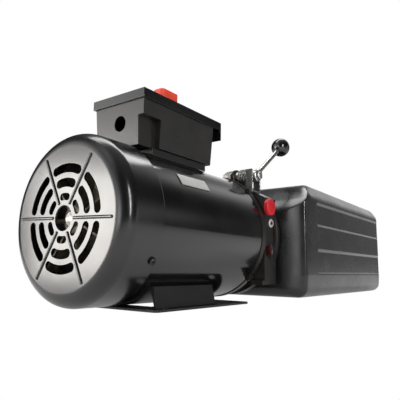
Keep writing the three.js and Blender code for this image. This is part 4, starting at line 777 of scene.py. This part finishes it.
def moulded_rubber():
    """Moulded silicone rubber: saturated orange-red with a matt bloom and a fine leathery grain."""
    material, tree = new_material("orange_red_moulded_rubber")
    place = add(tree, "TexCoord").outputs["Object"]
    bloom = add(tree, "TexNoise", {"Vector": place, "Scale": 1 / (8 * MM), "Detail": 4.0, "Roughness": 0.6})
    colour = add(tree, "ValToRGB", {"Fac": bloom},
                 stops=[(0.3, linear("#d93a22")), (0.7, linear("#e4492f"))])
    relief = add(tree, "TexNoise", {"Vector": place, "Scale": 1 / (0.5 * MM), "Detail": 2.0})
    bump = add(tree, "Bump", {"Height": relief, "Distance": 0.02 * MM})
    roughness = add(tree, "MapRange", {
        "Value": bloom, "From Min": 0.3, "From Max": 0.7, "To Min": 0.42, "To Max": 0.6,
    })
    shader = add(tree, "BsdfPrincipled", {
        "Base Color": colour, "Roughness": roughness, "Normal": bump, "Subsurface Weight": 0.05,
        "Subsurface Radius": (0.002, 0.0006, 0.0004),
    })
    add(tree, "OutputMaterial", {"Surface": shader})
    return material


rubber = moulded_rubber()
button_low, button_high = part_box("push_button")
button_spot = Vector(((button_low.x + button_high.x) / 2, (button_low.y + button_high.y) / 2, button_high.z))
button_tall = (button_high.z - button_low.z) / MM
lip = 1.2  # the flange that holds the button under the lid, left off the boot
half_long = (button_high.x - button_low.x) / 2 / MM - lip
half_wide = (button_high.y - button_low.y) / 2 / MM - lip
button_round = 4.6
corners = ((-1, -1), (1, -1), (1, 1), (-1, 1))
outline = rounded([(u * half_long, v * half_wide, button_round) for u, v in corners], 8)
button = solid(outline, "Z", -button_tall, 0, button_spot)
# A pocket under the boot takes the top of the spring when the button is pressed.
pocket_radius, pocket_deep = 6.2, 5
pocket = turned([(-button_tall - 1, 0), (-button_tall - 1, pocket_radius),
                 (pocket_deep - button_tall, pocket_radius), (pocket_deep - button_tall, 0)],
                button_spot, "Z", 48)
button = carve(button, [pocket])
to_object("button_boot", button, rubber, "button", ["push_button"], edge_mm=2.0, steps=5)

# ---------------------------------------------------------------------------
# Manifold. An iron casting with a round tank flange and spigot behind its plate, a lug
# for the release valve on top, a foot ledge, and ports bored in from the near side.

mani_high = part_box("manifold_block")[1]
plate_spot = Vector((mani_high.x - 41.1 * MM, face_centre.y, face_centre.z))
plate = solid([(-80, -66), (72, -66), (72, 50), (54, 59.3), (-62, 59.3), (-80, 50)], "X", 0, 31, plate_spot)
additions = [
    turned([(25, 0), (25, 82.6), (31, 82.6), (31, 0)], plate_spot, "X", 160),
    turned([(30, 0), (30, 64), (41.1, 64), (41.1, 0)], plate_spot, "X", 96),
    slab(2, 22, -48, -14, 58.3, 80, plate_spot),
    slab(-7, 1, -80, -63.5, -66, -60.5, plate_spot),
]
bores = [
    turned([(-1, 0), (-1, 16), (26, 16), (26, 0)], plate_spot, "X", 48),
    turned([(-51, 0), (-51, 12.3), (-11, 12.3), (-11, 0)], plate_spot + Vector((12, 0, 83)) * MM, "Y", 48),
]
for node, radius in (("pressure_port_plug", 8.5), ("check_plug", 4.4), ("return_port_plug", 9.3)):
    low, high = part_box(node)
    spot = Vector(((low.x + high.x) / 2, face_centre.y - 80 * MM, (low.z + high.z) / 2))
    bores.append(turned([(-1, 0), (-1, radius + 2), (0, radius + 1.2), (1.2, radius), (24, radius), (24, 0)],
                        spot, "Y", 40))
to_object("manifold_casting", carve(carve(plate, additions, "UNION"), bores), casting, "frame",
          ["manifold_block"], edge_mm=0.9)

# ---------------------------------------------------------------------------
# Port plugs. Moulded caps pushed into the ports for transport, and the screwed plug
# of the check valve, whose hexagon socket is painted red-brown as painted shade.


def moulded_plug(name, dark, light, rough):
    """Injection-moulded polyethylene: even colour with faint flow clouds and a soft gloss."""
    material, tree = new_material(name)
    place = add(tree, "TexCoord").outputs["Object"]
    flow = add(tree, "TexNoise", {"Vector": place, "Scale": 1 / (6 * MM), "Detail": 3.0})
    colour = add(tree, "ValToRGB", {"Fac": flow}, stops=[(0.3, linear(dark)), (0.7, linear(light))])
    relief = add(tree, "TexNoise", {"Vector": place, "Scale": 1 / (0.5 * MM), "Detail": 2.0})
    bump = add(tree, "Bump", {"Height": relief, "Distance": 0.01 * MM})
    roughness = add(tree, "MapRange", {
        "Value": flow, "From Min": 0.3, "From Max": 0.7, "To Min": rough, "To Max": rough + 0.12,
    })
    shader = add(tree, "BsdfPrincipled", {"Base Color": colour, "Roughness": roughness, "Normal": bump})
    add(tree, "OutputMaterial", {"Surface": shader})
    return material


def zinc_plug_with_shaded_socket(centre):
    """Bright zinc ring whose hexagon socket is painted dull red-brown as painted shade."""
    material, tree = new_material("zinc_plug_with_painted_socket_shade")
    place = add(tree, "TexCoord").outputs["Object"]
    offset = add(tree, "VectorMath", {0: place, 1: centre}, operation="SUBTRACT")
    flat = add(tree, "VectorMath", {0: offset, 1: (1, 0, 1)}, operation="MULTIPLY")
    reach = add(tree, "VectorMath", {0: flat}, operation="LENGTH").outputs["Value"]
    cloud = add(tree, "TexNoise", {"Vector": place, "Scale": 1 / (3 * MM), "Detail": 3.0})
    zinc = add(tree, "ValToRGB", {"Fac": cloud}, stops=[(0.3, linear("#d6d3cd")), (0.7, linear("#e6e4e0"))])
    # Painted shade: the socket is coloured dark red-brown and not metallic, standing in for the shade in the
    # hole.
    socket_shade = add(tree, "ValToRGB", {"Fac": cloud},
                stops=[(0.3, linear("#5c231c")), (0.7, linear("#7c3a2c"))])
    inside = add(tree, "MapRange", {
        "Value": reach, "From Min": 2.5 * MM, "From Max": 3.0 * MM, "To Min": 1.0, "To Max": 0.0,
    })
    both = add(tree, "Mix", {"Factor": inside, "A": zinc, "B": socket_shade}, data_type="RGBA")
    metal = add(tree, "MapRange", {
        "Value": reach, "From Min": 2.5 * MM, "From Max": 3.0 * MM, "To Min": 0.0, "To Max": 0.6,
    })
    roughness = add(tree, "MapRange", {
        "Value": cloud, "From Min": 0.3, "From Max": 0.7, "To Min": 0.3, "To Max": 0.45,
    })
    relief = add(tree, "TexNoise", {"Vector": place, "Scale": 1 / (0.6 * MM), "Detail": 2.0})
    bump = add(tree, "Bump", {"Height": relief, "Distance": 0.015 * MM})
    shader = add(tree, "BsdfPrincipled", {
        "Base Color": both.outputs["Result"], "Metallic": metal, "Roughness": roughness, "Normal": bump,
    })
    add(tree, "OutputMaterial", {"Surface": shader})
    return material


low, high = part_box("pressure_port_plug")
spot = Vector(((low.x + high.x) / 2, face_centre.y - 80.3 * MM, (low.z + high.z) / 2))
red_plug = turned([(-6.5, 0), (-6.5, 8.6), *fillet(-4.7, 9.6, 1.8, 180, 90, 5)[1:], (-0.6, 11.4), (0, 10.8),
                   (0, 8.2), (16, 8.2), (16, 0)], spot, "Y", 48)
to_object("red_port_plug", red_plug, moulded_plug("red_moulded_plug", "#b8121c", "#cf1e28", 0.32), "frame",
          ["pressure_port_plug"])

low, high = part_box("return_port_plug")
spot = Vector(((low.x + high.x) / 2, low.y, (low.z + high.z) / 2))
dark_plug = turned([(10, 0), (10, 6.9), (0.6, 7.3), (0, 7.6), (0, 8.6), (0.5, 9), (16, 9), (16, 0)],
                   spot, "Y", 48)
# Painted shade: this plug's dark red is the moulded red darkened for the shade of its recess.
to_object("dark_port_plug", dark_plug, moulded_plug("red_moulded_plug_painted_shade", "#3a0f12", "#541a1d", 0.4),
          "frame", ["return_port_plug"])

low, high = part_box("check_plug")
spot = Vector(((low.x + high.x) / 2, low.y, (low.z + high.z) / 2))
socket = turned([(-1, 0), (-1, 2.7), (5, 2.7), (5, 0)], spot, "Y", 6)
check_plug = carve(turned([(0, 0), (0, 5.4), (0.5, 5.9), (1.5, 5.9), (1.5, 4.1), (11.5, 4.1), (11.5, 0)],
                          spot, "Y", 48), [socket])
to_object("check_valve_plug", check_plug, zinc_plug_with_shaded_socket(spot), "frame", ["check_plug"])

to_object("relief_valve_cap", from_cad("relief_cap"), zinc_plate, "frame", ["relief_cap"],
          edge_mm=0.6)

# ---------------------------------------------------------------------------
# Release valve. A zinc-plated hexagon cartridge with an oxide-blackened lock ring and a
# return spring of bright wire, in the lug on top of the manifold.


def drawn_spring_wire():
    """Drawn carbon-steel wire: grey metal with fine scoring and a film of oil."""
    material, tree = new_material("drawn_spring_wire")
    place = add(tree, "TexCoord").outputs["Object"]
    film = add(tree, "TexNoise", {"Vector": place, "Scale": 1 / (3 * MM), "Detail": 3.0})
    colour = add(tree, "ValToRGB", {"Fac": film},
                 stops=[(0.3, linear("#7e7a75")), (0.7, linear("#a3a09c"))])
    relief = add(tree, "TexNoise", {"Vector": place, "Scale": 1 / (0.3 * MM), "Detail": 2.0})
    bump = add(tree, "Bump", {"Height": relief, "Distance": 0.006 * MM})
    roughness = add(tree, "MapRange", {
        "Value": film, "From Min": 0.3, "From Max": 0.7, "To Min": 0.25, "To Max": 0.4,
    })
    shader = add(tree, "BsdfPrincipled", {
        "Base Color": colour, "Metallic": 1.0, "Roughness": roughness, "Normal": bump,
    })
    add(tree, "OutputMaterial", {"Surface": shader})
    return material


def coil(radius, wire, turns, length, origin):
    """A spring of round wire along +Y from an origin in metres; sizes in millimetres."""
    shape = bmesh.new()
    steps, sides = int(turns * 36), 10
    rings = []
    for k in range(steps + 1):
        turn = 2 * math.pi * turns * k / steps
        along = wire + (length - 2 * wire) * k / steps
        outward = Vector((math.cos(turn), 0, math.sin(turn)))
        ring = []
        for j in range(sides):
            around = 2 * math.pi * j / sides
            spot = outward * (radius + wire * math.cos(around))
            spot.y = along + wire * math.sin(around)
            ring.append(shape.verts.new(Vector(origin) + spot * MM))
        rings.append(ring)
    for ring, following in zip(rings, rings[1:]):
        for j in range(sides):
            n = (j + 1) % sides
            shape.faces.new((ring[j], ring[n], following[n], following[j]))
    shape.faces.new(rings[0])
    shape.faces.new(rings[-1])
    return shape


spring_wire = drawn_spring_wire()
low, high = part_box("valve_body")
valve_spot = Vector(((low.x + high.x) / 2, high.y, (low.z + high.z) / 2))
hexagon = turned([(-14, 0), (-14, 10.2), (-12.8, 11.5), (-1.2, 11.5), (0, 10.2), (0, 0)], valve_spot, "Y", 6)
barrel = turned([(-37.5, 0), (-37.5, 8.4), (-36.9, 9), (-13, 9), (-13, 0)], valve_spot, "Y", 48)
cartridge = carve(hexagon, [barrel], "UNION")
to_object("valve_cartridge", cartridge, zinc_plate, "frame", ["valve_body"], edge_mm=0.3)

low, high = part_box("valve_lock_ring")
spot = Vector(((low.x + high.x) / 2, low.y, (low.z + high.z) / 2))
lock_ring = turned([(0, 9.3), (0, 11.2), (0.8, 12), (4.2, 12), (5, 11.2), (5, 9.3)], spot, "Y", 64)
to_object("lock_ring", lock_ring, oxide, "frame", ["valve_lock_ring"])

low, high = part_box("lever_spring")
spot = Vector((valve_spot.x, low.y, valve_spot.z))
to_object("lever_return_spring", coil(10.6, 0.8, 4, (high.y - low.y) / MM, spot), spring_wire, "frame",
          ["lever_spring"], angle=60)

# ---------------------------------------------------------------------------
# Release lever. A zinc-plated hub clamped on the spindle, a plain round rod, and a glossy
# black phenolic ball; the bent bracket beside the hub stops it when it is pushed down.


def phenolic_knob():
    """Compression-moulded phenolic: deep black and very glossy, with a faint waviness."""
    material, tree = new_material("glossy_phenolic_knob")
    place = add(tree, "TexCoord").outputs["Object"]
    haze = add(tree, "TexNoise", {"Vector": place, "Scale": 1 / (7 * MM), "Detail": 3.0})
    colour = add(tree, "ValToRGB", {"Fac": haze},
                 stops=[(0.3, linear("#0a0a0b")), (0.7, linear("#131314"))])
    relief = add(tree, "TexNoise", {"Vector": place, "Scale": 1 / (5 * MM), "Detail": 1.0})
    bump = add(tree, "Bump", {"Height": relief, "Distance": 0.02 * MM})
    roughness = add(tree, "MapRange", {
        "Value": haze, "From Min": 0.3, "From Max": 0.7, "To Min": 0.1, "To Max": 0.22,
    })
    shader = add(tree, "BsdfPrincipled", {
        "Base Color": colour, "Roughness": roughness, "Normal": bump, "IOR": 1.6,
    })
    add(tree, "OutputMaterial", {"Surface": shader})
    return material


phenolic = phenolic_knob()
joint = next(j for j in frame["record"]["behaviour"]["joints"] if j["name"] == "release_lever")
pivot = Vector(joint["pos_m"])
knob_low, knob_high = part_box("lever_knob")
knob_centre = (knob_low + knob_high) / 2
reach = (knob_centre - pivot).length / MM
tilt = math.atan2(knob_centre.z - pivot.z, knob_centre.x - pivot.x)


def along_lever(outline, segments=32):
    """A turned shape along the lever, from the pivot outward."""
    shape = turned(outline, (0, 0, 0), "X", segments)
    place = Matrix.Translation(pivot) @ Matrix.Rotation(-tilt, 4, "Y")
    bmesh.ops.transform(shape, matrix=place, verts=shape.verts)
    return shape


low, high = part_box("lever_hub")
hub_spot = Vector((pivot.x, low.y, pivot.z))
hub_long = (high.y - low.y) / MM
hub = turned([(0, 0), (0, 7.7), (0.8, 8.5), (hub_long - 0.8, 8.5), (hub_long, 7.7), (hub_long, 0)],
             hub_spot, "Y", 64)
neck = along_lever([(5, 0), (5, 5.5), (13.2, 5.5), (14, 4.7), (14, 0)])
to_object("hub_forging", carve(hub, [neck], "UNION"), zinc_plate, "lever", ["lever_hub"],
          edge_mm=0.3)
to_object("lever_bar", along_lever([(7, 0), (7, 3.3), (reach - 3, 3.3), (reach - 3, 0)]), zinc_plate, "lever",
          ["lever_rod"])

low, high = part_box("valve_spindle")
spindle_spot = Vector((pivot.x, low.y, pivot.z))
spindle_long = (high.y - low.y) / MM
head = turned([(0, 0), (0, 5.2), (0.8, 6), (3.2, 6), (3.2, 0)], spindle_spot, "Y", 6)
stem = turned([(2, 0), (2, 4.5), (spindle_long, 4.5), (spindle_long, 0)], spindle_spot, "Y", 32)
to_object("spindle_pin", carve(head, [stem], "UNION"), zinc_plate, "lever", ["valve_spindle"],
          edge_mm=0.2)

ball = bmesh.new()
bmesh.ops.create_uvsphere(ball, u_segments=64, v_segments=40, radius=(knob_high.z - knob_low.z) / 2)
bmesh.ops.transform(ball, matrix=Matrix.Translation(knob_centre), verts=ball.verts)
to_object("lever_ball", ball, phenolic, "lever", ["lever_knob"], angle=60)
to_object("stop_bracket", from_cad("lever_bracket"), zinc_plate, "frame", ["lever_bracket"],
          edge_mm=0.45)

# ---------------------------------------------------------------------------
# Clamp ring. A turned ring, painted with the castings, that holds the lip of the tank's
# neck against the manifold.

low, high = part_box("clamp_ring")
ring_radius = (high.y - low.y) / 2 / MM
ring_spot = Vector((low.x, face_centre.y, face_centre.z))
ring_long, ring_bore, ring_seat = 9, 72.3, 76.1
ring = turned([(0, ring_seat), (0, ring_radius - 1), (1, ring_radius), (ring_long - 1, ring_radius),
               (ring_long, ring_radius - 1), (ring_long, ring_bore), (4.1, ring_bore), (4.1, ring_seat)],
              ring_spot, "X", 160)
to_object("turned_clamp_ring", ring, casting, "frame", ["clamp_ring"])
tank_start = high.x + 4.7 * MM

# ---------------------------------------------------------------------------
# Oil tank. Blow-moulded black polyethylene: a wide box with a bevel on top at the front, two
# shallow recessed panels in each side and a short neck, whose lip the clamp ring holds.


def blow_moulded_polyethylene():
    """Blow-moulded polyethylene: satin black with fine grain from the mould, slow waves where
    the wall shrank, and scuffs that turn it grey."""
    material, tree = new_material("blow_moulded_polyethylene")
    place = add(tree, "TexCoord").outputs["Object"]
    scuff = add(tree, "TexNoise", {
        "Vector": place, "Scale": 1 / (60 * MM), "Detail": 5.0, "Roughness": 0.65,
    })
    grain = add(tree, "TexNoise", {
        "Vector": place, "Scale": 1 / (0.7 * MM), "Detail": 2.0, "Roughness": 0.6,
    })
    colour = add(tree, "ValToRGB", {"Fac": scuff},
                 stops=[(0.35, linear("#161617")), (0.7, linear("#212122"))])
    slow_relief = add(tree, "TexNoise", {"Vector": place, "Scale": 1 / (70 * MM), "Detail": 1.0})
    waves = add(tree, "Bump", {"Height": slow_relief, "Distance": 0.45 * MM})
    bump = add(tree, "Bump", {"Height": grain, "Distance": 0.02 * MM, "Normal": waves})
    roughness = add(tree, "MapRange", {
        "Value": scuff, "From Min": 0.3, "From Max": 0.7, "To Min": 0.19, "To Max": 0.31,
    })
    shader = add(tree, "BsdfPrincipled", {
        "Base Color": colour, "Roughness": roughness, "Normal": bump, "IOR": 1.52,
    })
    add(tree, "OutputMaterial", {"Surface": shader})
    return material


tank_low, tank_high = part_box("tank")
tank_spot = Vector((tank_start, face_centre.y, face_centre.z))
tank_long = (tank_high.x - tank_start) / MM
tank_wall = 4
tank_half, tank_floor = 116, -84
front_top, rear_top = 80.5, 77
side_shoulder, side_lean = 59, 14  # above the shoulder the sides lean in
front_bevel, front_shoulder, crest_blend = 41, 42.6, 13
front_round, rear_round, low_round, top_round = 13, 24, 15, 9
bulge_wide, bulge_deep = 26, 9  # the front falls back towards its upright edges
draft, draft_from, draft_span = 0.06, -54, 15  # the sides draw in a little near the floor
panel_bands, panel_edge, panel_deep = ((16.5, 52.2), (-52.2, -15.7)), 4, 2.2
panel_start, panel_end = 48, tank_long - 14


def tank_top(x):
    """Height of the top at x: up the front bevel, over a soft crest, then slightly downhill."""
    rise = (front_top - front_shoulder) / front_bevel
    fall = (rear_top - front_top) / (tank_long - front_bevel)
    past = x - front_bevel
    if past < -crest_blend:
        return front_shoulder + rise * x
    if past > crest_blend:
        return front_top + fall * past
    return front_shoulder + rise * x + (fall - rise) * (past + crest_blend) ** 2 / (4 * crest_blend)


def soft_step(value, start):
    """Rises from 0 to 1 across the width of a panel's edge, which begins at start."""
    t = min(max((value - start) / panel_edge, 0), 1)
    return t * t * (3 - 2 * t)


def bow(a, b, c, t):
    """A point at t on the curve that leaves a towards b and arrives at c."""
    return tuple((1 - t) ** 2 * p + 2 * t * (1 - t) * q + t * t * r for p, q, r in zip(a, b, c))


def tank_ring(x, inset, wall, levels):
    """One loop of the tank at x, drawn in by inset; the outside dips where the panels are."""
    top, foot = tank_top(x) - inset, tank_floor + inset
    wide = tank_half - inset - bulge_wide * max(0, 1 - (x - wall) / bulge_deep) ** 2
    lean = side_lean * max(0, (top - side_shoulder) / (front_top - side_shoulder))
    bend = min(side_shoulder, top - 3)
    r_low, r_top = max(low_round - inset, 3), max(top_round - inset, 2)
    right = []
    for k in range(9):
        turn = math.pi / 2 * k / 8
        y = wide - draft * draft_span - r_low + r_low * math.sin(turn)
        right.append((y, foot + r_low - r_low * math.cos(turn)))
    side_low, side_high = foot + r_low, bend - 6
    for level in levels:
        z = side_low + level * (side_high - side_low)
        depth = 0 if wall else panel_deep
        depth *= soft_step(x, panel_start) * (1 - soft_step(x, panel_end - panel_edge))
        depth *= sum(soft_step(z, b) * (1 - soft_step(z, t - panel_edge)) for b, t in panel_bands)
        right.append((wide - depth - draft * min(max(0, draft_from - z), draft_span), z))
    above_bend = (wide - lean * 0.3 - 0.3, bend + (top - bend) * 0.3)
    below_top = (wide - lean * 0.6 - 0.4, bend + (top - bend) * 0.6)
    inner = wide - lean - 0.7
    right += [bow((wide, side_high), (wide, bend), above_bend, k / 8) for k in range(1, 9)]
    right += [bow(below_top, (inner, top), (inner - r_top, top), k / 8) for k in range(9)]
    right += [((inner - r_top) * (1 - k / 8), top) for k in range(1, 8)]
    return right + [(0, top)] + [(-y, z) for y, z in reversed(right)]


def tank_form(wall):
    """The tank's outside, or its inside when drawn in by a wall: a loft of loops along X."""
    ahead_round, behind_round = front_round - wall, rear_round - wall
    span_low, span_high = tank_floor + low_round, side_shoulder - 6
    marks = set(range(-64, 50, 8))
    for b, t in panel_bands:
        for edge in (b, t - panel_edge):
            marks.update(edge + step for step in (-0.5, 0, 1, 2, 3, 4, 4.5))
    marks = [mark for mark in sorted(marks) if span_low < mark < span_high]
    levels = [(mark - span_low) / (span_high - span_low) for mark in marks]
    stops = {panel_start + k for k in range(5)} | {panel_end - k for k in range(5)}
    stops.update(range(24, 352, 6))
    stops.update(wall + ahead_round * (1 - math.cos(math.pi / 2 * k / 9)) for k in range(10))
    stops.update(tank_long - wall - behind_round * (1 - math.cos(math.pi / 2 * k / 12)) for k in range(13))
    shape = bmesh.new()
    rings = []
    for x in sorted(stops):
        ahead, behind = max(ahead_round + wall - x, 0), max(x - (tank_long - wall - behind_round), 0)
        inset = wall + ahead_round - math.sqrt(max(ahead_round ** 2 - ahead ** 2, 0))
        inset += behind_round - math.sqrt(max(behind_round ** 2 - behind ** 2, 0))
        ring = tank_ring(x, inset, wall, levels)
        rings.append([shape.verts.new(tank_spot + Vector((x, y, z)) * MM) for y, z in ring])
    for ring_a, ring_b in zip(rings, rings[1:]):
        for k in range(len(ring_a)):
            n = (k + 1) % len(ring_a)
            shape.faces.new([ring_a[k], ring_a[n], ring_b[n], ring_b[k]])
    shape.faces.new(rings[0])
    shape.faces.new(rings[-1])
    bmesh.ops.recalc_face_normals(shape, faces=shape.faces)
    return shape


tank_body = tank_form(0)
neck_long = (tank_start - tank_low.x) / MM
lip_radius, lip_long, neck_radius, neck_bore = 75.8, 3.8, 72, 68
neck = turned([(-neck_long, 0), (-neck_long, lip_radius), (lip_long - neck_long, lip_radius),
               (lip_long - neck_long, neck_radius), (1, neck_radius), (1, 0)], tank_spot, "X", 128)
cap_low, cap_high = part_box("filler_cap")
cap_spot = Vector(((cap_low.x + cap_high.x) / 2, (cap_low.y + cap_high.y) / 2, face_centre.z))
boss = turned([(74, 0), (74, 21), (81.7, 21), (82.5, 20.2), (82.5, 0)], cap_spot, "Z", 64)
tank_body = carve(tank_body, [neck, boss], "UNION")
tank_body = carve(tank_body, [
    tank_form(tank_wall),
    turned([(-neck_long - 1, 0), (-neck_long - 1, neck_bore), (5, neck_bore), (5, 0)], tank_spot, "X", 128),
    turned([(70, 0), (70, 12), (84, 12), (84, 0)], cap_spot, "Z", 48),
])
polyethylene = blow_moulded_polyethylene()
to_object("tank_moulding", tank_body, polyethylene, "frame", ["tank"], angle=40)

# ---------------------------------------------------------------------------
# Filler cap. Moulded black plastic with eight finger grooves, on a boss on top of the tank.


def black_moulding_plastic():
    """Injection-moulded black plastic: satin, with a fine spark-eroded texture."""
    material, tree = new_material("black_moulded_plastic")
    place = add(tree, "TexCoord").outputs["Object"]
    cloud = add(tree, "TexNoise", {"Vector": place, "Scale": 1 / (10 * MM), "Detail": 3.0})
    colour = add(tree, "ValToRGB", {"Fac": cloud},
                 stops=[(0.3, linear("#121213")), (0.7, linear("#1e1e1f"))])
    relief = add(tree, "TexNoise", {"Vector": place, "Scale": 1 / (0.4 * MM), "Detail": 2.0})
    bump = add(tree, "Bump", {"Height": relief, "Distance": 0.02 * MM})
    roughness = add(tree, "MapRange", {
        "Value": cloud, "From Min": 0.3, "From Max": 0.7, "To Min": 0.34, "To Max": 0.5,
    })
    shader = add(tree, "BsdfPrincipled", {"Base Color": colour, "Roughness": roughness, "Normal": bump})
    add(tree, "OutputMaterial", {"Surface": shader})
    return material


black_plastic = black_moulding_plastic()
to_object("filler_cap_moulding", from_cad("filler_cap"), black_plastic, "filler", ["filler_cap"],
          edge_mm=0.5)
paint(black_plastic, "switch_housing", "start_capacitor")

# ---------------------------------------------------------------------------
# Inside the motor. Bearings, a stack of varnished electrical sheet, a copper winding in
# its slots, and the fan-end bell cast in aluminium; long zinc-plated bolts hold it together.


def stacked_sheet():
    """Electrical sheet stacked along the shaft: half-millimetre edges, grey oxide, faint rust."""
    material, tree = new_material("stacked_electrical_sheet")
    place = add(tree, "TexCoord").outputs["Object"]
    stretched = add(tree, "Mapping", {"Vector": place, "Scale": (1, 0.02, 0.02)})
    edges = add(tree, "TexNoise", {"Vector": stretched, "Scale": 1 / (0.5 * MM), "Detail": 1.0})
    rust = add(tree, "TexNoise", {"Vector": place, "Scale": 1 / (12 * MM), "Detail": 4.0, "Roughness": 0.6})
    colour = add(tree, "ValToRGB", {"Fac": rust},
                 stops=[(0.45, linear("#6b6d70")), (0.75, linear("#6f5a4c"))])
    roughness = add(tree, "MapRange", {
        "Value": rust, "From Min": 0.3, "From Max": 0.7, "To Min": 0.35, "To Max": 0.55,
    })
    bump = add(tree, "Bump", {"Height": edges, "Distance": 0.05 * MM})
    shader = add(tree, "BsdfPrincipled", {
        "Base Color": colour, "Metallic": 0.9, "Roughness": roughness, "Normal": bump,
    })
    add(tree, "OutputMaterial", {"Surface": shader})
    return material


def varnished_copper():
    """Enamelled copper wire, 0.9 mm, wound tight and dipped in clear brown varnish."""
    material, tree = new_material("varnished_copper_wire")
    place = add(tree, "TexCoord").outputs["Object"]
    stretched = add(tree, "Mapping", {"Vector": place, "Scale": (0.08, 1, 1)})
    strands = add(tree, "TexNoise", {"Vector": stretched, "Scale": 1 / (0.9 * MM), "Detail": 1.0})
    varnish = add(tree, "TexNoise", {"Vector": place, "Scale": 1 / (9 * MM), "Detail": 3.0})
    colour = add(tree, "ValToRGB", {"Fac": varnish},
                 stops=[(0.3, linear("#8a4b22")), (0.7, linear("#a8662f"))])
    roughness = add(tree, "MapRange", {
        "Value": varnish, "From Min": 0.3, "From Max": 0.7, "To Min": 0.25, "To Max": 0.45,
    })
    bump = add(tree, "Bump", {"Height": strands, "Distance": 0.2 * MM})
    shader = add(tree, "BsdfPrincipled", {
        "Base Color": colour, "Metallic": 0.6, "Roughness": roughness, "Normal": bump,
    })
    add(tree, "OutputMaterial", {"Surface": shader})
    return material


def aluminium_with_painted_shade():
    """Gravity-cast aluminium as it left the mould: pale dull metal, grained and a little stained; its colour
    is darkened to a mid grey as painted shade, for the fan-end bell in the shade of the fan cover.
    """
    material, tree = new_material("as_cast_aluminium_painted_shade")
    place = add(tree, "TexCoord").outputs["Object"]
    stain = add(tree, "TexNoise", {
        "Vector": place, "Scale": 1 / (18 * MM), "Detail": 4.0, "Roughness": 0.6,
    })
    # Painted shade: both colours are set dark for the bell seen through the cover's slots; the spread between
    # them is stain.
    colour = add(tree, "ValToRGB", {"Fac": stain},
                 stops=[(0.35, linear("#5f5e5b")), (0.7, linear("#7d7c79"))])
    roughness = add(tree, "MapRange", {
        "Value": stain, "From Min": 0.3, "From Max": 0.7, "To Min": 0.45, "To Max": 0.65,
    })
    relief = add(tree, "TexNoise", {"Vector": place, "Scale": 1 / (1.2 * MM), "Detail": 2.0})
    bump = add(tree, "Bump", {"Height": relief, "Distance": 0.05 * MM})
    shader = add(tree, "BsdfPrincipled", {
        "Base Color": colour, "Metallic": 0.9, "Roughness": roughness, "Normal": bump,
    })
    add(tree, "OutputMaterial", {"Surface": shader})
    return material


sheet_stack = stacked_sheet()
aluminium = aluminium_with_painted_shade()
paint(sheet_stack, "stator_core", "rotor_core")
paint(varnished_copper(), "stator_winding")
paint(aluminium, "fan_end_bell", "pump_body", "pump_cover")
paint(ground_steel, "fan_end_bearing", "pump_end_bearing", "drive_coupling", "drive_gear", "driven_gear",
      "check_ball", "relief_poppet")
paint(zinc_plate, "through_bolt_1", "through_bolt_2", "through_bolt_3", "through_bolt_4",
      "pump_bolt_1", "pump_bolt_2")
paint(spring_wire, "button_spring", "check_spring", "relief_spring")

# ---------------------------------------------------------------------------
# Oil lines inside the tank. Black nylon tubes, a strainer of woven steel on the suction
# side, and the O-ring that seals the neck on the spigot.


def nylon_tube():
    """Extruded nylon tube: black, softly glossy, with fine lengthwise die lines."""
    material, tree = new_material("extruded_nylon_tube")
    place = add(tree, "TexCoord").outputs["Object"]
    stretched = add(tree, "Mapping", {"Vector": place, "Scale": (0.05, 1, 1)})
    lines = add(tree, "TexNoise", {"Vector": stretched, "Scale": 1 / (0.5 * MM), "Detail": 2.0})
    cloud = add(tree, "TexNoise", {"Vector": place, "Scale": 1 / (20 * MM), "Detail": 3.0})
    colour = add(tree, "ValToRGB", {"Fac": cloud},
                 stops=[(0.3, linear("#1a1a1b")), (0.7, linear("#262628"))])
    roughness = add(tree, "MapRange", {
        "Value": cloud, "From Min": 0.3, "From Max": 0.7, "To Min": 0.3, "To Max": 0.42,
    })
    bump = add(tree, "Bump", {"Height": lines, "Distance": 0.02 * MM})
    shader = add(tree, "BsdfPrincipled", {"Base Color": colour, "Roughness": roughness, "Normal": bump})
    add(tree, "OutputMaterial", {"Surface": shader})
    return material


def woven_strainer_mesh():
    """Woven steel mesh with a 0.4 mm pitch: crossed wires, dark between them."""
    material, tree = new_material("woven_steel_mesh")
    place = add(tree, "TexCoord").outputs["Object"]
    waves = [add(tree, "TexWave", {"Vector": place, "Scale": 0.5 / (0.4 * MM) / 3.14},
                 bands_direction=way).outputs["Fac"] for way in ("X", "DIAGONAL")]
    weave = add(tree, "Math", {0: waves[0], 1: waves[1]}, operation="MAXIMUM").outputs["Value"]
    colour = add(tree, "ValToRGB", {"Fac": weave},
                 stops=[(0.3, linear("#2c2d2a")), (0.8, linear("#9a9b95"))])
    roughness = add(tree, "MapRange", {
        "Value": weave, "From Min": 0.3, "From Max": 0.7, "To Min": 0.5, "To Max": 0.35,
    })
    bump = add(tree, "Bump", {"Height": weave, "Distance": 0.08 * MM})
    shader = add(tree, "BsdfPrincipled", {
        "Base Color": colour, "Metallic": 0.9, "Roughness": roughness, "Normal": bump,
    })
    add(tree, "OutputMaterial", {"Surface": shader})
    return material


def moulded_nitrile():
    """Nitrile rubber: matt black with a faint grey bloom."""
    material, tree = new_material("moulded_nitrile")
    place = add(tree, "TexCoord").outputs["Object"]
    bloom = add(tree, "TexNoise", {"Vector": place, "Scale": 1 / (5 * MM), "Detail": 3.0})
    colour = add(tree, "ValToRGB", {"Fac": bloom},
                 stops=[(0.3, linear("#141414")), (0.7, linear("#222222"))])
    roughness = add(tree, "MapRange", {
        "Value": bloom, "From Min": 0.3, "From Max": 0.7, "To Min": 0.5, "To Max": 0.7,
    })
    relief = add(tree, "TexNoise", {"Vector": place, "Scale": 1 / (0.4 * MM), "Detail": 2.0})
    bump = add(tree, "Bump", {"Height": relief, "Distance": 0.01 * MM})
    shader = add(tree, "BsdfPrincipled", {"Base Color": colour, "Roughness": roughness, "Normal": bump})
    add(tree, "OutputMaterial", {"Surface": shader})
    return material


paint(nylon_tube(), "suction_tube", "return_tube")
paint(woven_strainer_mesh(), "suction_strainer")
paint(moulded_nitrile(), "tank_o_ring")

bpy.context.view_layer.update()
